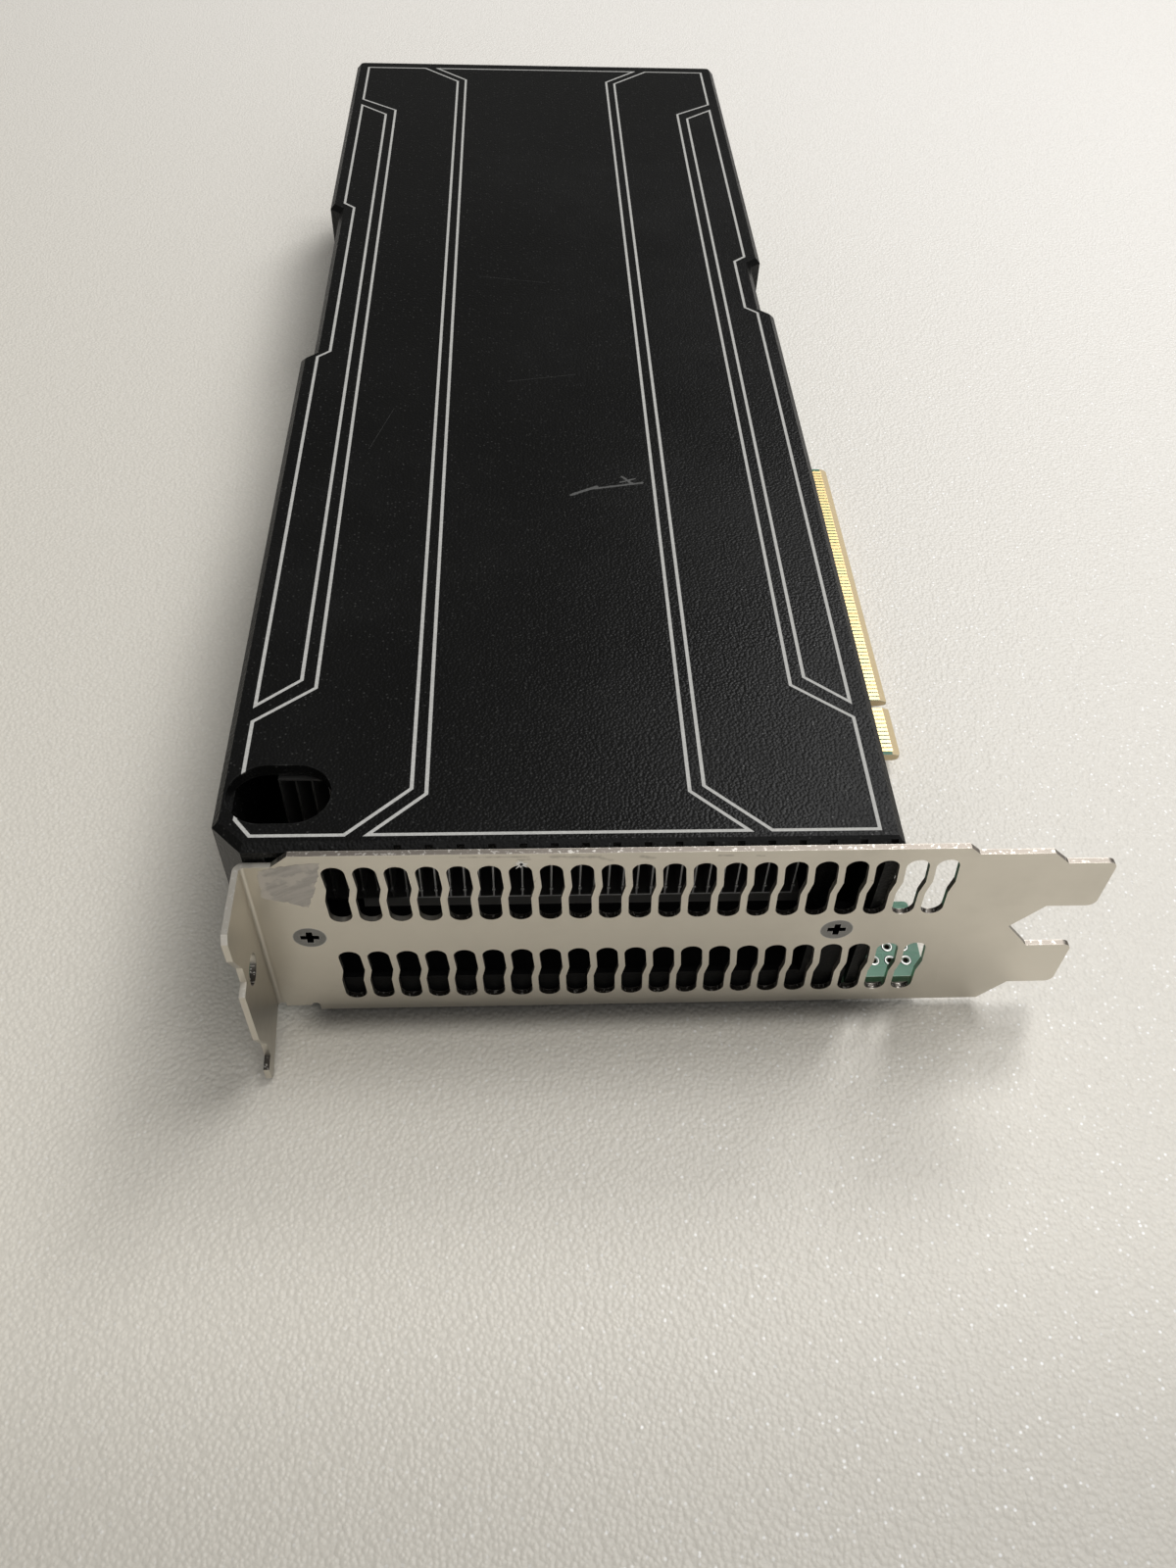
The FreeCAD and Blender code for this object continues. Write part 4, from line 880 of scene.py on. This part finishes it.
def ragged(outline, parts, depth):
    """Closed outline with its sides split and their points moved in and out a little."""
    points = []
    for k, (x, z) in enumerate(outline):
        next_x, next_z = outline[(k + 1) % len(outline)]
        size = math.hypot(next_x - x, next_z - z)
        for part in range(parts):
            way = part / parts
            shift = depth * math.sin(7.3 * (k * parts + part)) * math.cos(2.1 * (k + part * 1.7))
            points.append((x + (next_x - x) * way - (next_z - z) / size * shift,
                           z + (next_z - z) * way + (next_x - x) / size * shift))
    return points


def flake(centre, arms, half_width):
    """Builder of a star-shaped flake, one pointed plate for each arm."""

    def build(mesh):
        """Arms from the centre outwards."""
        for angle, reach in arms:
            turn = math.radians(angle)
            along, across = (math.cos(turn), math.sin(turn)), (-math.sin(turn), math.cos(turn))
            corners = [(centre[0] + along[0] * run + across[0] * width,
                        centre[1] + along[1] * run + across[1] * width)
                       for run, width in ((0, -half_width), (0, half_width), (reach, 0))]
            slab(corners, *FLAKE_FACES)(mesh)

    return build


class ACCEL_OT_bracket(bpy.types.Operator):
    """Finish the slot bracket, its screws and the old adhesive on it"""

    bl_idname = "accel.bracket"
    bl_label = "Bracket"

    def execute(self, context):
        """Plated sheet, dark screws, a thin film of adhesive and a flake of it."""
        metal = context.scene.accel_metal
        dress(["io_bracket"], bracket_material(metal))
        dress(["bracket_screws"], screw_material(metal))
        outline = ragged(FILM_OUTLINE, FILM_PARTS, FILM_RAG)
        film = solid_object("adhesive_film", slab(outline, *FILM_FACES))
        torn = solid_object("adhesive_flake", flake(FLAKE_CENTRE, FLAKE_ARMS, FLAKE_HALF_WIDTH))
        for piece, material in (
                (film, adhesive_material()),
                (torn, moulded_material("torn adhesive", (0.80, 0.78, 0.74), 0.7))):
            piece.data.materials.append(material)
            ride(piece)
        return {"FINISHED"}


FIRST_HOLE = (93.4, 5.1)
HOLE_PITCH = 2.54
RING_LIFT, RING_HEIGHT = 0.03 * MM, 0.08 * MM


class ACCEL_OT_board(bpy.types.Operator):
    """Finish the circuit board, its contacts and its plated holes"""

    bl_idname = "accel.board"
    bl_label = "Circuit Board"

    def execute(self, context):
        """Solder mask, gold and a ring round each plated hole on both faces."""
        board = context.scene.accel_board
        dress(["circuit_board"], board_material(board))
        dress(["edge_contacts"], machined_material("gold plating", board.gold, 0.34))
        low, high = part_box("circuit_board")
        points = []
        for level in (high[2] + RING_LIFT, low[2] - RING_LIFT):
            for column in range(3):
                for row in range(2):
                    point = place(FIRST_HOLE[0] + HOLE_PITCH * column,
                                  FIRST_HOLE[1] + HOLE_PITCH * row, 0)
                    points.append(Vector((point.x, point.y, level)))
        rings = grown("solder_rings", points, "Solder Rings", {
            "Outer": board.ring_outer, "Inner": board.ring_inner, "Height": RING_HEIGHT,
            "Material": machined_material("tinned copper", (0.60, 0.60, 0.57), 0.3)})
        ride(rings)
        return {"FINISHED"}


FIN_PITCH, FIN_SHEET = 2.25 * MM, 0.25 * MM


class ACCEL_OT_heat_sinks(bpy.types.Operator):
    """Finish the heat sinks and add the tabs that link their fins"""

    bl_idname = "accel.heat_sinks"
    bl_label = "Heat Sinks"

    def execute(self, context):
        """Bare fins, plated spreaders, black base plate and rows of tabs."""
        metal = context.scene.accel_metal
        fins = fin_material(metal)
        dress(["front_fin_stack", "rear_fin_stack"], fins)
        dress(["front_heat_spreader", "rear_heat_spreader"], machined_material(
            "plated spreader", (0.32, 0.31, 0.29), 0.4, (900.0, 40.0, 40.0), 0.7))
        dress(["base_plate", "front_lip"], moulded_material(
            "black base plate", metal.plate, 0.5, 0.0004, 0.00002, 0.08))
        for name, end, out, rows in (("front_fin_stack", 0, -1, 1), ("rear_fin_stack", 1, 1, 2)):
            low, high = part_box(name)
            face = (low, high)[end][1] + out * metal.tab_size / 4
            heights = (low[2] + metal.tab_inset, high[2] - metal.tab_inset)
            for row, height in enumerate(heights[:rows]):
                tabs = grown(f"{name}_tabs_{row}", [], "Fin Tabs", {
                    "Count": round((high[0] - low[0]) / FIN_PITCH) + 1,
                    "First": (low[0] + FIN_SHEET / 2, face, height),
                    "Spacing": (FIN_PITCH, 0, 0),
                    "Size": (metal.tab_size, metal.tab_size / 2, metal.tab_size),
                    "Material": fins})
                ride(tabs)
        return {"FINISHED"}


class ACCEL_OT_chips(bpy.types.Operator):
    """Finish the processors, the memory and the power parts"""

    bl_idname = "accel.chips"
    bl_label = "Chips and Power Parts"

    def execute(self, context):
        """Packages, dies, thermal pads, socket, pins and inductors."""
        dress(["front_processor", "rear_processor"],
              moulded_material("package laminate", (0.03, 0.085, 0.05), 0.4))
        dress(["front_die", "rear_die"],
              machined_material("polished die", (0.20, 0.20, 0.23), 0.12))
        chip = moulded_material("chip resin", (0.014, 0.014, 0.015), 0.45)
        dress(["front_memory", "rear_memory", "bridge_chip"], chip)
        dress(["front_memory_pads", "rear_memory_pads"],
              moulded_material("thermal pad", (0.28, 0.30, 0.34), 0.75, 0.0006, 0.00004, 0.2))
        dress(["power_socket"], moulded_material("socket plastic", (0.016, 0.016, 0.016), 0.32))
        dress(["power_pins"], machined_material("gold pins", context.scene.accel_board.gold, 0.22))
        dress(["power_inductors"], moulded_material("pressed ferrite", (0.06, 0.06, 0.063), 0.6))
        return {"FINISHED"}


SPRING_CENTRES = [(47.0, 64.0), (47.0, 190.0)]
SPRING_CORNER = 22.5
BOARD_SCREWS = [(7, 8.5), (83, 122.5), (6, 122.5), (6, 238.5), (80.5, 250.2),
                (84, 12), (83.2, 130), (3.2, 130), (3.6, 244.1), (83.8, 245.5)]


class ACCEL_OT_underside(bpy.types.Operator):
    """Finish the spring plates and fit the screws under the board"""

    bl_idname = "accel.underside"
    bl_label = "Underside"

    def execute(self, context):
        """Pan heads under the board and at the spring plates' corners."""
        metal = context.scene.accel_metal
        dress(["front_spring_plate", "rear_spring_plate"],
              machined_material("spring steel", (0.48, 0.48, 0.47), 0.3, (50.0, 900.0, 50.0)))
        radius, height = metal.head_diameter / 2, metal.head_height
        model = solid_object("pan_head", lathe([
            (0, 0), (radius, 0), (radius, -height * 0.55), (radius * 0.88, -height * 0.86),
            (radius * 0.6, -height), (0, -height)], 24))
        cut_cross(model, radius * 1.1, radius * 0.26, height * 0.5)
        below_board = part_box("circuit_board")[0][2]
        below_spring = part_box("front_spring_plate")[0][2]
        points = [place(x, y, 0) + Vector((0, 0, below_board)) for x, y in BOARD_SCREWS]
        for x, y in SPRING_CENTRES:
            points += [place(x + dx, y + dy, 0) + Vector((0, 0, below_spring))
                       for dx in (-SPRING_CORNER, SPRING_CORNER)
                       for dy in (-SPRING_CORNER, SPRING_CORNER)]
        heads = grown("pan_heads", points, "Hardware On Points", {
            "Model": model, "Material": machined_material("zinc screws", (0.5, 0.5, 0.48), 0.28)})
        bpy.data.objects.remove(model)
        ride(heads)
        return {"FINISHED"}


class ACCEL_OT_stage(bpy.types.Operator):
    """Lay the floor, set the lights and aim the camera"""

    bl_idname = "accel.stage"
    bl_label = "Stage"

    def execute(self, context):
        """Pale floor, soft lamps, pale surroundings and the camera."""
        stage = context.scene.accel_stage
        self.floor(stage)
        self.lights(context, stage)
        self.surroundings(context, stage)
        self.camera(context, stage)
        return {"FINISHED"}

    def floor(self, stage):
        """Wide pale pebbled table top with painted light: darker at the front left and at the
        front edge, a painted shadow under the bracket, and painted glints.
        """
        reach, level = 6.0, -0.1 * MM
        floor = mesh_object("floor", [(-reach, -reach, level), (reach, -reach, level),
                                      (reach, reach, level), (-reach, reach, level)],
                            [(0, 1, 2, 3)])
        material, w, shader = new_material("pale table top", specular=0.4)
        at = w.place()
        grain = use_group(w, "Moulded Grain", {"Vector": at, "Size": 0.00065})
        where = w.parts(at)
        # Painted falloff of light: darker and warmer at the front left, lighter at the back right.
        side = w.ramp(w.math("ADD", where[0], where[1]), -0.35, 0.45)
        tone = w.blend(side, opaque((stage.floor[0] * 0.87, stage.floor[1] * 0.85,
                                     stage.floor[2] * 0.79)), opaque(shade(stage.floor, 1.15)))
        tone = w.blend(w.ramp(grain["Height"], -0.6, 0.0, 0.12, 0.0), tone, (0.35, 0.33, 0.29, 1))
        # Painted glints: light specks, stronger towards the right.
        glint = w.product(grain["Glint"], w.ramp(where[0], -0.06, 0.05, 0.3, 1.0))
        tone = w.blend(glint, tone, (0.97, 0.965, 0.95, 1))
        # Painted shade: darker towards the front edge.
        tone = w.scaled(tone, w.ramp(where[1], -0.205, -0.158, 0.78, 1.0))
        # Painted shadow: a dark strip on the floor under the bracket's lower edge.
        under = w.product(w.between(where[1], (y_at(-5.0), y_at(-0.5)), (y_at(4.0), y_at(9.0))),
                          w.between(where[0], (x_at(1.0), x_at(9.0)), (x_at(88.0), x_at(104.0))),
                          0.8)
        paint(w, shader, w.scaled(tone, w.math("SUBTRACT", 1.0, under)),
              w.ramp(grain["Glint"], 0.0, 1.0, 0.45, 0.22))
        bump(w, shader, grain["Height"], 0.00014)
        floor.data.materials.append(material)

    def lights(self, context, stage):
        """One lamp high on the right, a small one behind and a broad one in front."""
        for name, spot, size, power in (
                ("key", (0.65, 0.42, 1.8), 0.75, stage.lamp),
                ("back", (0.72, 1.0, 1.3), 0.5, stage.lamp * 0.65),
                ("front", (0.40, -1.25, 1.35), 1.9, stage.lamp * 0.95)):
            data = bpy.data.lights.new(name, "AREA")
            data.size = size
            data.energy = power
            lamp = bpy.data.objects.new(name, data)
            lamp.location = spot
            lamp.rotation_euler = (-Vector(spot)).to_track_quat("-Z", "Y").to_euler()
            context.scene.collection.objects.link(lamp)

    def surroundings(self, context, stage):
        """Even pale surroundings."""
        world = bpy.data.worlds.new("studio")
        world.use_nodes = True
        background = world.node_tree.nodes["Background"]
        background.inputs["Strength"].default_value = stage.world
        background.inputs["Color"].default_value = (1.0, 0.985, 0.955, 1)
        context.scene.world = world
        context.scene.view_settings.view_transform = "Standard"

    def camera(self, context, stage):
        """Camera at the card's front, above it."""
        data = bpy.data.cameras.new("camera")
        data.sensor_fit = "VERTICAL"
        data.sensor_height = 36.0
        data.lens = stage.lens
        data.clip_start = 0.01
        camera = bpy.data.objects.new("camera", data)
        gaze = Vector(stage.gaze).normalized()
        side = Vector(stage.side).normalized()
        up = side.cross(gaze)
        turn = Matrix((side, up, -gaze)).transposed()
        camera.matrix_world = Matrix.Translation(stage.eye) @ turn.to_4x4()
        context.scene.collection.objects.link(camera)
        context.scene.camera = camera


OPERATORS = (ACCEL_OT_cover, ACCEL_OT_bracket, ACCEL_OT_board, ACCEL_OT_heat_sinks,
             ACCEL_OT_chips, ACCEL_OT_underside, ACCEL_OT_stage)


class ACCEL_PT_panel(bpy.types.Panel):
    """Steps that dress the card"""

    bl_idname = "ACCEL_PT_panel"
    bl_label = "Accelerator Card"
    bl_space_type = "VIEW_3D"
    bl_region_type = "UI"
    bl_category = "Accelerator Card"

    def draw(self, context):
        """List the settings and the steps."""
        for name, group in SETTINGS.items():
            settings = getattr(context.scene, name)
            column = self.layout.column(align=True)
            for field in group.__annotations__:
                column.prop(settings, field)
        for operator in OPERATORS:
            self.layout.operator(operator.bl_idname)


def register():
    """Register the settings, the operators and the panel."""
    for name, group in SETTINGS.items():
        bpy.utils.register_class(group)
        setattr(bpy.types.Scene, name, bpy.props.PointerProperty(type=group))
    for item in (*OPERATORS, ACCEL_PT_panel):
        bpy.utils.register_class(item)


def unregister():
    """Remove everything that register added."""
    for item in reversed((*OPERATORS, ACCEL_PT_panel)):
        bpy.utils.unregister_class(item)
    for name, group in reversed(SETTINGS.items()):
        delattr(bpy.types.Scene, name)
        bpy.utils.unregister_class(group)


def main():
    """Dress the card step by step."""
    register()
    for build in GROUPS + TREES:
        build()
    for operator in OPERATORS:
        family, action = operator.bl_idname.split(".")
        getattr(getattr(bpy.ops, family), action)()


if __name__ == "__main__":
    main()
